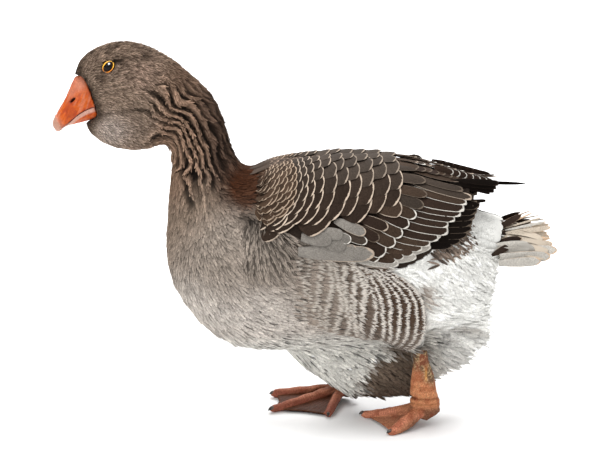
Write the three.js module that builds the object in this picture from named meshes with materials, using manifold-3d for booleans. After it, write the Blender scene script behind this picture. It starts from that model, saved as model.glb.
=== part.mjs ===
// A dewlap Toulouse goose, life size, walking: a still model in named parts.
// Millimetres. +X is the way the bill points, +Y the bird's left, +Z up. The feet stand on Z = 0, and the
// origin lies on the floor under the middle of the bird.
// The body is one loft through upright, egg-shaped sections that fan round the hollow behind the neck. It is
// parted with thin cuts, and the wings, thighs, dewlap and tail are fitted to it.

import * as THREE from 'three';
import { mergeVertices } from 'three/addons/utils/BufferGeometryUtils.js';
import Module from 'manifold-3d';

const wasm = await Module();
wasm.setup();

// ---- driving dimensions -------------------------------------------------------------------------

const PART_GAP = 0.35; // clear space left where two parts meet
const EYE_RADIUS = 9;
const EYE_CENTRE = [248, 18, 463]; // the left eye; the right one mirrors it
const WEB_THICKNESS = 2.2;
const FLOOR_LEVEL = 0;

// ---- colours and finishes -----------------------------------------------------------------------

function finish(color, roughness) {
  return new THREE.MeshStandardMaterial({ color, roughness, metalness: 0 });
}

const HEAD_BROWN = finish(0x7d7268, 0.9);
const BREAST_GREY = finish(0xa59c93, 0.9);
const WING_BROWN = finish(0x5f574f, 0.85);
const QUILL_BLACK = finish(0x2c2826, 0.8);
const BELLY_WHITE = finish(0xe4e1dc, 0.95);
const TAIL_BROWN = finish(0x9c938a, 0.9);
const BILL_ORANGE = finish(0xe2622a, 0.45);
const FOOT_ORANGE = finish(0xc4623c, 0.6);
const CLAW_HORN = finish(0x4a413c, 0.5);
const EYE_DARK = finish(0x1c130d, 0.1);

// ---- making solids ------------------------------------------------------------------------------

// A closed three.js geometry as a manifold-3d solid.
function solidOf(geometry) {
  const bare = geometry.clone();
  bare.deleteAttribute('normal');
  bare.deleteAttribute('uv');
  const merged = mergeVertices(bare, 1e-3);
  const solid = new wasm.Manifold(new wasm.Mesh({
    numProp: 3,
    vertProperties: merged.attributes.position.array,
    triVerts: new Uint32Array(merged.index.array),
  }));
  return solid;
}

// A solid as a geometry again.
function geometryOf(solid) {
  const mesh = solid.getMesh();
  return new THREE.BufferGeometry()
    .setAttribute('position', new THREE.BufferAttribute(mesh.vertProperties, 3))
    .setIndex(new THREE.BufferAttribute(mesh.triVerts, 1));
}

// A closed skin over rings of points, all with the same count, with a fan over each end.
function loft(rings) {
  const around = rings[0].length;
  const corners = rings.flat().flatMap((p) => [p.x, p.y, p.z]);
  const faces = [];
  for (let r = 0; r + 1 < rings.length; r++) {
    for (let i = 0; i < around; i++) {
      const next = (i + 1) % around;
      const a = r * around + i;
      const b = r * around + next;
      faces.push(a, b, a + around, b, b + around, a + around);
    }
  }
  for (const [ring, flip] of [[0, false], [rings.length - 1, true]]) {
    const middle = rings[ring].reduce((sum, p) => sum.add(p), new THREE.Vector3()).divideScalar(around);
    const hub = corners.length / 3;
    corners.push(middle.x, middle.y, middle.z);
    for (let i = 0; i < around; i++) {
      const a = ring * around + i;
      const b = ring * around + ((i + 1) % around);
      faces.push(...(flip ? [hub, a, b] : [hub, b, a]));
    }
  }
  return new THREE.BufferGeometry()
    .setAttribute('position', new THREE.Float32BufferAttribute(corners, 3))
    .setIndex(faces);
}

// The solid of a loft, facing out whichever way its rings run.
function loftSolid(rings) {
  const solid = solidOf(loft(rings));
  if (solid.volume() > 0) return solid;
  return solidOf(loft(rings.map((ring) => [...ring].reverse())));
}

// The values at station number t of a list of equal-length number lists, on a smooth curve through them.
function curveThrough(lists) {
  const width = lists[0].length;
  const curves = [];
  for (let c = 0; c < width; c += 3) {
    const points = lists.map((l, i) => new THREE.Vector3(l[c], l[c + 1] ?? i, l[c + 2] ?? 0));
    curves.push(new THREE.CatmullRomCurve3(points, false, 'catmullrom', 0.5));
  }
  return (t) => curves.flatMap((curve) => curve.getPoint(t).toArray()).slice(0, width);
}

// ---- body ---------------------------------------------------------------------------------------

// Each station is a section of the body from its back point to its front (throat, breast or belly) point:
// back x, z; front x, z; half width; the level of the greatest width, 0 at the back and 1 at the front; and
// the roundness, 1 for an ellipse and less for a fuller, squarer section.
const BODY_STATIONS = {
  billTop: [294.5, 449.5, 281, 393, 14, 0.5, 0.9],
  billRoot: [292, 459, 269, 391, 18, 0.5, 0.88],
  forehead: [285.5, 470, 260, 388, 22, 0.48, 0.9],
  brow: [274.5, 480, 250, 384, 25.5, 0.46, 0.9],
  eye: [255, 489, 238, 381, 28.5, 0.46, 0.9],
  crown: [227, 493, 222, 377, 31, 0.48, 0.9],
  cheek: [195, 484.5, 204, 371, 33, 0.52, 0.92],
  occiput: [164, 466, 188, 363, 33, 0.52, 0.95],
  nape: [137, 443, 177, 354, 32, 0.5, 1],
  throat: [118, 421, 173.5, 342, 31, 0.5, 1],
  neck: [105.5, 395, 174.5, 325, 32, 0.5, 1],
  neckRoot: [95, 361, 178, 299, 36.5, 0.5, 1],
  shoulderHollow: [81, 339, 181, 264, 47, 0.5, 0.95],
  crop: [64, 335, 183.5, 226, 64, 0.5, 0.9],
  breast: [42, 340, 177, 178, 86, 0.5, 0.88],
  keel: [13.5, 342, 146.5, 129.5, 103, 0.52, 0.86],
  shoulders: [-22, 345, 100, 95.5, 114, 0.54, 0.85],
  midBack: [-61, 343, 40, 87, 119, 0.54, 0.85],
  flank: [-100, 336, -30, 90, 120, 0.53, 0.87],
  loin: [-136, 325, -95, 97, 117, 0.52, 0.9],
  hips: [-170, 308, -152, 104, 109, 0.52, 0.92],
  thighs: [-204, 289, -200, 108, 92, 0.5, 0.92],
  rump: [-230, 271, -233, 122, 74, 0.5, 0.9],
  vent: [-244, 262, -247, 158, 58, 0.5, 0.88],
  tailRoot: [-251, 256, -252.5, 200, 46, 0.5, 0.85],
};
const BODY_AROUND = 20;
const BODY_STEPS = 2; // rings from one station to the next

// The throat bag, from the chin under the bill back to the front of the neck, in the same kind of stations.
const DEWLAP_STATIONS = {
  chinTip: [277, 398, 282, 387, 6, 0.6, 1],
  chin: [270, 402, 275.5, 374.5, 13, 0.6, 1],
  bagFront: [257, 405, 261, 362.5, 19, 0.6, 0.95],
  bag: [240, 405, 243, 354.5, 24, 0.6, 0.9],
  bagBottom: [221, 402, 221, 351.5, 26, 0.6, 0.9],
  bagBack: [201, 398, 199, 353, 26, 0.6, 0.9],
  fold: [185, 394, 181.5, 359, 23, 0.6, 0.95],
  foldEnd: [168, 385, 168, 366, 15, 0.5, 1],
};

// The paunch that hangs between the legs, with one value more: the depth of the cleft between its two lobes.
const PAUNCH_STATIONS = {
  breastbone: [38, 112, 34, 88, 26, 0.5, 1, 0],
  front: [6, 140, 6, 61, 44, 0.55, 0.95, 0],
  slope: [-24, 140, -22, 40, 49, 0.55, 0.95, 3],
  bagFront: [-54, 140, -54, 19, 49, 0.6, 0.85, 7],
  bagBottom: [-97, 140, -97, 16.5, 48, 0.6, 0.82, 9],
  bagBack: [-140, 140, -138, 19, 47, 0.6, 0.85, 9],
  betweenHocks: [-178, 140, -178, 46, 50, 0.55, 0.9, 6],
  fluff: [-206, 150, -206, 64, 58, 0.5, 0.9, 2],
  fluffBack: [-230, 170, -232, 85, 56, 0.5, 0.9, 0],
  fluffEnd: [-238, 190, -245, 122, 40, 0.5, 0.95, 0],
};

// The point of a section at an angle that runs from the back point (0) down the left side to the front (PI).
function sectionPoint([backX, backZ, frontX, frontZ, half, widest, round, cleft = 0], angle, grow) {
  const back = new THREE.Vector3(backX, 0, backZ);
  const front = new THREE.Vector3(frontX, 0, frontZ);
  const down = front.clone().sub(back).normalize();
  back.addScaledVector(down, -grow);
  front.addScaledVector(down, grow);
  const level = (1 - Math.cos(angle)) / 2 + (widest - 0.5) * Math.sin(angle) ** 2;
  const side = Math.sign(Math.sin(angle)) * Math.abs(Math.sin(angle)) ** round;
  const point = back.lerp(front, level).addScaledVector(down, -cleft * Math.max(0, -Math.cos(angle)) ** 24);
  point.y = side * (half + grow);
  return point;
}

// A loft through stations, made bigger all round by grow.
function stationLoft(stations, steps, around, grow = 0) {
  const lists = Object.values(stations);
  const at = curveThrough(lists);
  const rings = [];
  const last = (lists.length - 1) * steps;
  for (let r = 0; r <= last; r++) {
    const section = at(r / last);
    const ring = [];
    for (let i = 0; i < around; i++) {
      ring.push(sectionPoint(section, (2 * Math.PI * i) / around, grow));
    }
    rings.push(ring);
  }
  return loftSolid(rings);
}

// ---- legs and feet ------------------------------------------------------------------------------

// A limb is a list of stations along it: x, y, z of its axis, half thickness along the bird, half width.
const THIGHS = {
  left: [
    [-76, 70, 226, 56, 34],
    [-86, 80, 200, 62, 38],
    [-108, 86, 164, 54, 37],
    [-132, 79, 131, 34, 27],
    [-147, 67, 104, 15, 14],
  ],
  right: [
    [-62, -70, 226, 56, 34],
    [-68, -80, 200, 60, 38],
    [-72, -86, 164, 52, 37],
    [-72, -79, 130, 34, 27],
    [-68, -68, 103, 15, 14],
  ],
};
const SHANKS = {
  left: [
    [-148.5, 66, 103, 9, 9],
    [-149.5, 65, 88, 10, 9.5],
    [-152, 64, 68, 15, 11],
    [-153.5, 62, 43, 18.3, 13],
  ],
  right: [
    [-67, -67, 102, 9.5, 9],
    [-62, -65, 80, 12, 10],
    [-57, -63, 60, 14, 11],
    [-52, -61, 38, 15.5, 12.5],
  ],
};
// The ankle ball and the toes that leave it: inner (II), middle (III), outer (IV) and the small hind toe (I).
// A toe is a list of x, y, z of its axis and its radius.
const FEET = {
  left: {
    ankle: [
      [-153.6, 61.9, 42.6, 18.4, 13],
      [-155.5, 61, 33, 20.5, 14],
      [-155, 60, 24, 19.5, 13.5],
      [-149, 58, 15, 13, 10],
    ],
    inner: [[-147, 52, 22, 8], [-130, 36, 13, 6.5], [-116, 20, 7, 5.5], [-107, 9, 3.6, 4]],
    middle: [[-145, 57, 24, 9], [-122, 47, 14.5, 7.5], [-98, 34, 7.5, 6.2], [-79, 24, 4, 4.6]],
    outer: [[-147, 63, 22, 9.8], [-134, 78.5, 13, 9], [-121, 90, 7, 7.4], [-111, 97, 4, 5.2]],
    hind: [[-164, 52, 30, 6], [-171, 44, 22, 4.5], [-174, 38, 14, 3.5]],
  },
  right: {
    ankle: [
      [-52, -60.9, 37.6, 15.6, 12.6],
      [-51, -60, 28, 18, 13.5],
      [-50, -58, 17, 17, 13.5],
      [-47, -56, 7, 14, 12],
    ],
    inner: [[-46, -50, 12, 8], [-40, -22, 8, 6.5], [-35, 4, 5.2, 5.6], [-31.5, 22, 3.6, 4.2]],
    middle: [[-42, -54, 13, 9], [-12, -35, 9, 7.5], [18, -15, 6, 6.2], [41, 0, 4, 4.6]],
    outer: [[-40, -59, 13, 9], [-12, -62, 9.5, 8], [18, -64, 7, 7], [40, -66, 5, 5.6]],
    hind: [[-60, -53, 24, 6], [-66, -46, 15, 4.6], [-69, -42, 8, 3.6]],
  },
};
const WEB_BAY = 0.09; // how far the web's free edge bows back between two toes, as a part of their length
const CLAWS = {
  inner: { length: 9, base: 3 },
  middle: { length: 11, base: 3.6 },
  outer: { length: 10, base: 3.4 },
  hind: { length: 7, base: 2.6 },
};

// A limb of oval sections square to its axis; forward is the way its first half thickness is measured.
function limb(stations, forward, steps, around, grow = 0) {
  const at = curveThrough(stations.map(([x, y, z, thick, wide]) => [x, y, z, thick, wide ?? thick, 0]));
  const last = (stations.length - 1) * steps;
  const rings = [];
  for (let r = 0; r <= last; r++) {
    const t = r / last;
    const [x, y, z, thick, wide] = at(t);
    const before = new THREE.Vector3(...at(Math.max(0, t - 0.02)));
    const after = new THREE.Vector3(...at(Math.min(1, t + 0.02)));
    const along = after.sub(before).normalize();
    const side = new THREE.Vector3().crossVectors(along, forward).normalize();
    const ahead = new THREE.Vector3().crossVectors(side, along);
    const end = r === 0 ? -grow : r === last ? grow : 0;
    const ring = [];
    for (let i = 0; i < around; i++) {
      const angle = (2 * Math.PI * i) / around;
      ring.push(new THREE.Vector3(x, y, z)
        .addScaledVector(along, end)
        .addScaledVector(ahead, (thick + grow) * Math.cos(angle))
        .addScaledVector(side, (wide + grow) * Math.sin(angle)));
    }
    rings.push(ring);
  }
  return loftSolid(rings);
}

const FORWARD = new THREE.Vector3(1, 0, 0);
const UP = new THREE.Vector3(0, 0, 1);

// A toe: a limb that ends round.
function toe(stations) {
  const tip = stations.at(-1);
  const before = stations.at(-2);
  const out = new THREE.Vector3(...tip).sub(new THREE.Vector3(...before)).normalize();
  const end = [tip[0] + out.x * tip[3], tip[1] + out.y * tip[3], tip[2] + out.z * tip[3] * 0.4, tip[3] * 0.5];
  return limb([...stations, end], UP, 1, 8);
}

// The web between two toes: a thin slab that hangs between their axes, with a bowed free edge.
function web(first, second) {
  const ALONG = 3;
  const ACROSS = 4;
  const firstAt = curveThrough(first.map(([x, y, z]) => [x, y, z]));
  const secondAt = curveThrough(second.map(([x, y, z]) => [x, y, z]));
  const rings = [];
  for (let u = 0; u <= ALONG; u++) {
    const upper = [];
    const lower = [];
    for (let v = 0; v <= ACROSS; v++) {
      const across = v / ACROSS;
      const reach = (0.08 + 0.88 * (u / ALONG)) * (1 - WEB_BAY * Math.sin(Math.PI * across));
      const onFirst = new THREE.Vector3(...firstAt(reach));
      const onSecond = new THREE.Vector3(...secondAt(reach));
      const point = onFirst.lerp(onSecond, across);
      point.z = Math.max(point.z - 1, FLOOR_LEVEL + WEB_THICKNESS * 0.6);
      upper.push(point.clone().setZ(point.z + WEB_THICKNESS / 2));
      lower.unshift(point.clone().setZ(point.z - WEB_THICKNESS / 2));
    }
    rings.push([...upper, ...lower]);
  }
  return loftSolid(rings);
}

// A claw: a cone that curves down from the end of its toe and stays clear of the floor.
function claw(stations, { length, base }, grow = 0) {
  const tip = new THREE.Vector3(...stations.at(-1));
  const out = tip.clone().sub(new THREE.Vector3(...stations.at(-2))).normalize();
  const root = tip.clone().addScaledVector(out, stations.at(-1)[3] * 0.2);
  root.z += base * 0.45;
  const sections = [[0, 0, base], [0.35, 0.3, base * 0.85], [0.7, -0.6, base * 0.55], [1, -2.4, base * 0.2]];
  return limb(sections.map(([part, drop, radius]) => {
    const point = root.clone().addScaledVector(out, length * part);
    return [point.x, point.y, Math.max(root.z + drop, radius + 0.4), radius];
  }), UP, 1, 6, grow);
}

// ---- wings and tail -----------------------------------------------------------------------------

// A wing lies on the body as a shell. Each station is a slice square to the bird's length:
// x; y, z of the lower edge; y, z of the upper edge; depth of the shell.
const WING_STATIONS = [
  [58, 97, 270, 34, 331, 14],
  [48, 110, 262, 30, 335, 20],
  [28, 120, 253, 26, 340, 24],
  [4, 125, 239, 21, 345.5, 24],
  [-44, 128, 226, 17, 350.5, 24],
  [-96, 126, 222, 15, 349.5, 24],
  [-122, 121, 218, 14, 345, 22],
  [-150, 112, 231, 13, 338, 20],
  [-176, 99, 250, 12, 330, 18],
  [-200, 83, 265, 11, 322.5, 14],
  [-220, 62, 292, 12, 315.5, 9],
  [-250, 36, 305, 22, 308.5, 4],
];
const TIP_REACH = { left: 0, right: 30 }; // how much further back the longest quills reach
const WING_ARC = 7; // facets from the lower edge to the upper

function wing(mirror, reach) {
  const rings = [];
  for (const [x, lowY, lowZ, topY, topZ, depth] of WING_STATIONS) {
    const back = x - reach * THREE.MathUtils.smoothstep(-x, 200, 252);
    const outer = [];
    const inner = [];
    for (let i = 0; i <= WING_ARC; i++) {
      const turn = (Math.PI / 2) * (i / WING_ARC);
      const place = (inset) => new THREE.Vector3(
        back,
        mirror * (topY + (lowY - inset - topY) * Math.cos(turn) ** 1.1),
        lowZ + (topZ - inset - lowZ) * Math.sin(turn),
      );
      outer.push(place(0));
      inner.unshift(place(Math.min(depth, 0.9 * (lowY - topY))));
    }
    rings.push([...outer, ...inner]);
  }
  return loftSolid(rings);
}

// The tail: a fan of quills bent down at both sides like a roof, over a cushion of soft feathers.
const TAIL = {
  rootX: -246,
  rootHalf: 44,
  tipHalf: 60,
  ridgeZ: 259.5,
  ridgeDroop: 13, // how far the quills bow down to their tips
  rootDrop: 34, // how much lower the sides are than the ridge
  tipDrop: 42,
  rootDepth: 52,
  tipDepth: 3,
  tips: [-316, -321, -326, -322, -303], // x of the quill tips from the ridge to the side
};

function tail() {
  const ALONG = 4;
  const ACROSS = 5; // each side
  const reach = new THREE.SplineCurve(TAIL.tips.map((x, i) => new THREE.Vector2(i, x)));
  const { lerp } = THREE.MathUtils;
  const rings = [];
  for (let u = 0; u <= ALONG; u++) {
    const out = u / ALONG;
    const upper = [];
    const lower = [];
    for (let v = -ACROSS; v <= ACROSS; v++) {
      const side = v / ACROSS;
      const x = lerp(TAIL.rootX, reach.getPoint(Math.abs(side)).y, out);
      const y = side * lerp(TAIL.rootHalf, TAIL.tipHalf, out ** 0.7);
      const drop = lerp(TAIL.rootDrop, TAIL.tipDrop - TAIL.ridgeDroop, out) * Math.abs(side) ** 1.7;
      const top = TAIL.ridgeZ - drop - TAIL.ridgeDroop * out ** 3;
      const cushion = (1 - out) ** 1.5 * (1 - 0.6 * side ** 2);
      const depth = TAIL.tipDepth + (TAIL.rootDepth - TAIL.tipDepth) * cushion;
      upper.push(new THREE.Vector3(x, y, top));
      lower.unshift(new THREE.Vector3(x, y, top - depth));
    }
    rings.push([...upper, ...lower]);
  }
  return loftSolid(rings);
}

// ---- bill ---------------------------------------------------------------------------------------

// Both mandibles as one loft, from the feather line to the nail, in body stations.
const BILL_STATIONS = {
  root: [282, 455, 261, 397, 17, 0.6, 0.95],
  feathered: [293.3, 447, 276, 391.3, 17.3, 0.6, 0.95],
  middle: [301.5, 430, 290, 387.8, 16, 0.64, 1],
  lamellae: [309, 414.7, 300, 385, 14.5, 0.64, 0.98],
  nailRoot: [316.8, 402, 308.5, 381.5, 12.5, 0.62, 0.92],
  nail: [321.8, 392, 314, 378.5, 9.5, 0.55, 0.9],
  tip: [322.6, 384.5, 317.5, 377, 4, 0.5, 1],
};
// Where the mandibles meet, as x, z from inside the cheek to below the tip.
const MOUTH_LINE = [
  [255, 412.5], [266, 411], [276, 408], [287, 402], [297, 393.8], [306, 386], [312, 380.5], [322, 368],
];
// Where the feathers of the face end over the bill, as x, z from the ridge of the bill down to the chin.
const FEATHER_LINE = [
  [294, 448.6], [283, 449.3], [277.5, 441.8], [273, 433], [271, 425], [267.3, 413], [265, 401], [268, 393.5],
  [279, 388],
];

// ---- cuts ---------------------------------------------------------------------------------------

const FAR = 2000; // larger than the bird

// The planes that part the body and the wings, each through a back point and a front point, x and z.
const PARTINGS = {
  nape: [[137, 443], [177, 354]],
  midNeck: [[101, 379], [176, 312]],
  neckRoot: [[64, 337], [183.5, 226]],
  breast: [[24, 345], [40, 84]],
  rump: [[-192, 297], [-212, 62]],
  wingQuills: [[-224, 322], [-168, 240]],
};

// Everything on one side of the upright plane through a back point and a front point, x and z: the side
// towards the bill for sign 1, and towards the tail for -1.
function halfSpace([fromX, fromZ], [toX, toZ], sign) {
  const along = new THREE.Vector2(toX - fromX, toZ - fromZ).normalize();
  const out = new THREE.Vector2(-along.y, along.x).multiplyScalar(sign);
  const shift = FAR / 2 + PART_GAP / 2;
  const box = new THREE.BoxGeometry(FAR, FAR, FAR);
  box.rotateY(-Math.atan2(out.y, out.x));
  box.translate(fromX + out.x * shift, 0, fromZ + out.y * shift);
  return solidOf(box);
}

// Parts a solid along the plane from a back point to a front point: [the part ahead, the part behind].
function cutAlong(solid, from, to) {
  return [solid.intersect(halfSpace(from, to, 1)), solid.intersect(halfSpace(from, to, -1))];
}

// The main piece of a solid, without the crumbs that a shallow cut leaves.
function mainPiece(solid) {
  return solid.decompose().reduce((a, b) => (a.volume() > b.volume() ? a : b));
}

// ---- assembly -----------------------------------------------------------------------------------

const goose = new THREE.Group();

function addPart(name, solid, material) {
  const mesh = new THREE.Mesh(geometryOf(mainPiece(solid)), material);
  mesh.name = name;
  goose.add(mesh);
}

const SIDES = ['left', 'right'];
const mirrorOf = (side) => (side === 'left' ? 1 : -1);

// Body, with the thighs, the tops of the shanks and the eyes let into it.
let body = stationLoft(BODY_STATIONS, BODY_STEPS, BODY_AROUND);
const bodyRoom = stationLoft(BODY_STATIONS, BODY_STEPS, BODY_AROUND, PART_GAP);
const thighRooms = SIDES.map((side) => limb(THIGHS[side], FORWARD, 2, 12, PART_GAP));
const shankRooms = SIDES.map((side) => limb(SHANKS[side], FORWARD, 2, 10, PART_GAP));
for (const room of [...thighRooms, ...shankRooms]) body = body.subtract(room);

function eyeball(side, radius) {
  const [x, y, z] = EYE_CENTRE;
  return solidOf(new THREE.SphereGeometry(radius, 10, 7).translate(x, y * mirrorOf(side), z));
}
for (const side of SIDES) body = body.subtract(eyeball(side, EYE_RADIUS + PART_GAP));

// Everything ahead of the feather line.
const beak = new THREE.Shape([
  [FAR, FEATHER_LINE[0][1]],
  ...FEATHER_LINE,
  [290, 370],
  [FAR, 370],
].map(([x, z]) => new THREE.Vector2(x, z)));
const beakRoom = solidOf(new THREE.ExtrudeGeometry(beak, { depth: 80, bevelEnabled: false })
  .rotateX(Math.PI / 2).translate(0, 40, 0));

const [faced, belowHead] = cutAlong(body, ...PARTINGS.nape);
const [neckUpper, belowNeck] = cutAlong(belowHead, ...PARTINGS.midNeck);
const [neckLower, belowNeckRoot] = cutAlong(belowNeck, ...PARTINGS.neckRoot);
const [breast, behindBreast] = cutAlong(belowNeckRoot, ...PARTINGS.breast);
const [trunk, rump] = cutAlong(behindBreast, ...PARTINGS.rump);
addPart('head', faced.subtract(beakRoom), HEAD_BROWN);
addPart('neck_upper', neckUpper, HEAD_BROWN);
addPart('neck_lower', neckLower, BREAST_GREY);
addPart('breast', breast, BREAST_GREY);
addPart('trunk', trunk, BREAST_GREY);
addPart('rump', rump, BELLY_WHITE);

// Head.
const bill = stationLoft(BILL_STATIONS, 2, 14).intersect(beakRoom.translate([PART_GAP, 0, -PART_GAP]));
const billRoom = stationLoft(BILL_STATIONS, 2, 14, PART_GAP);
const mouthCurve = new THREE.SplineCurve(MOUTH_LINE.map(([x, z]) => new THREE.Vector2(x, z))).getPoints(12);
const mouthShape = new THREE.Shape([
  ...mouthCurve,
  ...mouthCurve.map((p) => new THREE.Vector2(p.x - PART_GAP / 2, p.y - PART_GAP)).reverse(),
]);
const mouthCut = solidOf(new THREE.ExtrudeGeometry(mouthShape, { depth: 60, bevelEnabled: false })
  .rotateX(Math.PI / 2).translate(0, 30, 0));
const [lowerBill, upperBill] = bill.subtract(mouthCut).decompose()
  .sort((a, b) => a.boundingBox().max[2] - b.boundingBox().max[2]).slice(-2);
addPart('bill_upper', upperBill, BILL_ORANGE);
addPart('bill_lower', lowerBill, BILL_ORANGE);
addPart('dewlap', stationLoft(DEWLAP_STATIONS, 1, 14).subtract(bodyRoom).subtract(billRoom), BREAST_GREY);
for (const side of SIDES) addPart('eye_' + side, eyeball(side, EYE_RADIUS), EYE_DARK);

// Paunch.
let paunch = stationLoft(PAUNCH_STATIONS, 1, 18).subtract(bodyRoom);
for (const room of thighRooms) paunch = paunch.subtract(room);
addPart('belly', paunch, BELLY_WHITE);

// Wings and tail.
for (const side of SIDES) {
  const shell = wing(mirrorOf(side), TIP_REACH[side]).subtract(bodyRoom);
  const [arm, quills] = cutAlong(shell, ...PARTINGS.wingQuills);
  addPart('wing_' + side, arm, WING_BROWN);
  addPart('primaries_' + side, quills, QUILL_BLACK);
}
addPart('tail', tail().subtract(bodyRoom), TAIL_BROWN);

// Legs.
SIDES.forEach((side, i) => {
  const { ankle, ...toes } = FEET[side];
  const shankRoom = shankRooms[i];
  addPart('thigh_' + side, limb(THIGHS[side], FORWARD, 2, 12).subtract(shankRoom), BREAST_GREY);
  const footPieces = [
    limb(ankle, FORWARD, 1, 10),
    web(toes.inner, toes.middle),
    web(toes.middle, toes.outer),
    ...Object.values(toes).map((stations) => toe(stations)),
  ];
  const floorCut = solidOf(new THREE.BoxGeometry(FAR, FAR, FAR).translate(0, 0, FLOOR_LEVEL + FAR / 2));
  let foot = footPieces.reduce((a, b) => a.add(b)).intersect(floorCut);
  addPart('shank_' + side, limb(SHANKS[side], FORWARD, 2, 10), FOOT_ORANGE);
  foot = foot.subtract(shankRoom);
  for (const [digit, stations] of Object.entries(toes)) {
    foot = foot.subtract(claw(stations, CLAWS[digit], PART_GAP));
    addPart('claw_' + digit + '_' + side, claw(stations, CLAWS[digit]), CLAW_HORN);
  }
  addPart('foot_' + side, foot, FOOT_ORANGE);
});

export default goose;
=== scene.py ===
import math

import bmesh
import bpy
import numpy as np
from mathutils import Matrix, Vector
from mathutils.bvhtree import BVHTree
from mathutils.kdtree import KDTree


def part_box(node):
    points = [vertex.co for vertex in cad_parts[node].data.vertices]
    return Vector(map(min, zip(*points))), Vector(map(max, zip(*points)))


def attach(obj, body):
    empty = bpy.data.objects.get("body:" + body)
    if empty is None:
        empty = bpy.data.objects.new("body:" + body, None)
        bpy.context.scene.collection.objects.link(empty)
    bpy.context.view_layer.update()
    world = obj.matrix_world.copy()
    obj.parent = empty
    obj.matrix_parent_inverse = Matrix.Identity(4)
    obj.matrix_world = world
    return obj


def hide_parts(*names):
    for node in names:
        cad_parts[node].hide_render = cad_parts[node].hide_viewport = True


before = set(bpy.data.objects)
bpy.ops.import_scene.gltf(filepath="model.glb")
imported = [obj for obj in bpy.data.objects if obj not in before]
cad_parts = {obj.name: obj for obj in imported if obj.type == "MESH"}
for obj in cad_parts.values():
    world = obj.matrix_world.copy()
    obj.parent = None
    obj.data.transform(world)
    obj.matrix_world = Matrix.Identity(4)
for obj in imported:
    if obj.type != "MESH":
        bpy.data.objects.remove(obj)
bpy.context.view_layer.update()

# ---- Skin -----------------------------------------------------------------------------------------
# The bare goose: one hide over head, neck, trunk, wings and thighs.
# It is moulded over the solids of the flesh, drawn in by the depth of the plumage, furrowed on the neck
# and pressed in round the eyes.

MM = 0.001
FLESH = (
    "head", "neck_upper", "neck_lower", "dewlap", "breast", "trunk", "rump", "belly",
    "thigh_left", "thigh_right", "wing_left", "wing_right",
)
SKIN_VOXEL = 2.6 * MM
SKIN_EASE = 12
SIDES = {"left": 1, "right": -1}

# The bird's length as section planes, each through a back and a front point, from the bill to the tail:
# back x, z; front x, z; half width, in mm.
SPINE = {
    "bill": (294.5, 449.5, 281, 393, 14),
    "bill_root": (292, 459, 269, 391, 18),
    "forehead": (285.5, 470, 260, 388, 22),
    "brow": (274.5, 480, 250, 384, 25.5),
    "eye": (255, 489, 238, 381, 28.5),
    "crown": (227, 493, 222, 377, 31),
    "cheek": (195, 484.5, 204, 371, 33),
    "occiput": (164, 466, 188, 363, 33),
    "nape": (137, 443, 177, 354, 32),
    "throat": (118, 421, 173.5, 342, 31),
    "neck": (105.5, 395, 174.5, 325, 32),
    "neck_root": (95, 361, 178, 299, 36.5),
    "hollow": (81, 339, 181, 264, 47),
    "crop": (64, 335, 183.5, 226, 64),
    "breast": (42, 340, 177, 178, 86),
    "keel": (13.5, 342, 146.5, 129.5, 103),
    "shoulders": (-22, 345, 100, 95.5, 114),
    "mid_back": (-61, 343, 40, 87, 119),
    "flank": (-100, 336, -30, 90, 120),
    "loin": (-136, 325, -95, 97, 117),
    "hips": (-170, 308, -152, 104, 109),
    "thighs": (-204, 289, -200, 108, 92),
    "rump": (-230, 271, -233, 122, 74),
    "vent": (-244, 262, -247, 158, 58),
    "tail_root": (-251, 256, -252.5, 200, 46),
}
SPINE_FINE = 10  # planes worked out from one station to the next


def eased(t):
    return t * t * (3 - 2 * t)


def ramp(value, low, high):
    """0 at low, 1 at high and eased between."""
    return eased(np.clip((value - low) / (high - low), 0, 1))


def unit(vectors):
    return vectors / (np.linalg.norm(vectors, axis=-1, keepdims=True) + 1e-12)


def smooth_through(points, t):
    """A smooth curve through rows of numbers, read at the row numbers t."""
    i = np.clip(t.astype(int), 0, len(points) - 2)
    f = (t - i)[:, None]
    p0, p1 = points[np.clip(i - 1, 0, None)], points[i]
    p2, p3 = points[i + 1], points[np.clip(i + 2, None, len(points) - 1)]
    return 0.5 * (2 * p1 + (p2 - p0) * f + (2 * p0 - 5 * p1 + 4 * p2 - p3) * f**2
                  + (3 * p1 - p0 - 3 * p2 + p3) * f**3)


PLANES = smooth_through(
    np.array(list(SPINE.values()), float) * MM,
    np.linspace(0, len(SPINE) - 1, (len(SPINE) - 1) * SPINE_FINE + 1),
)


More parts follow.
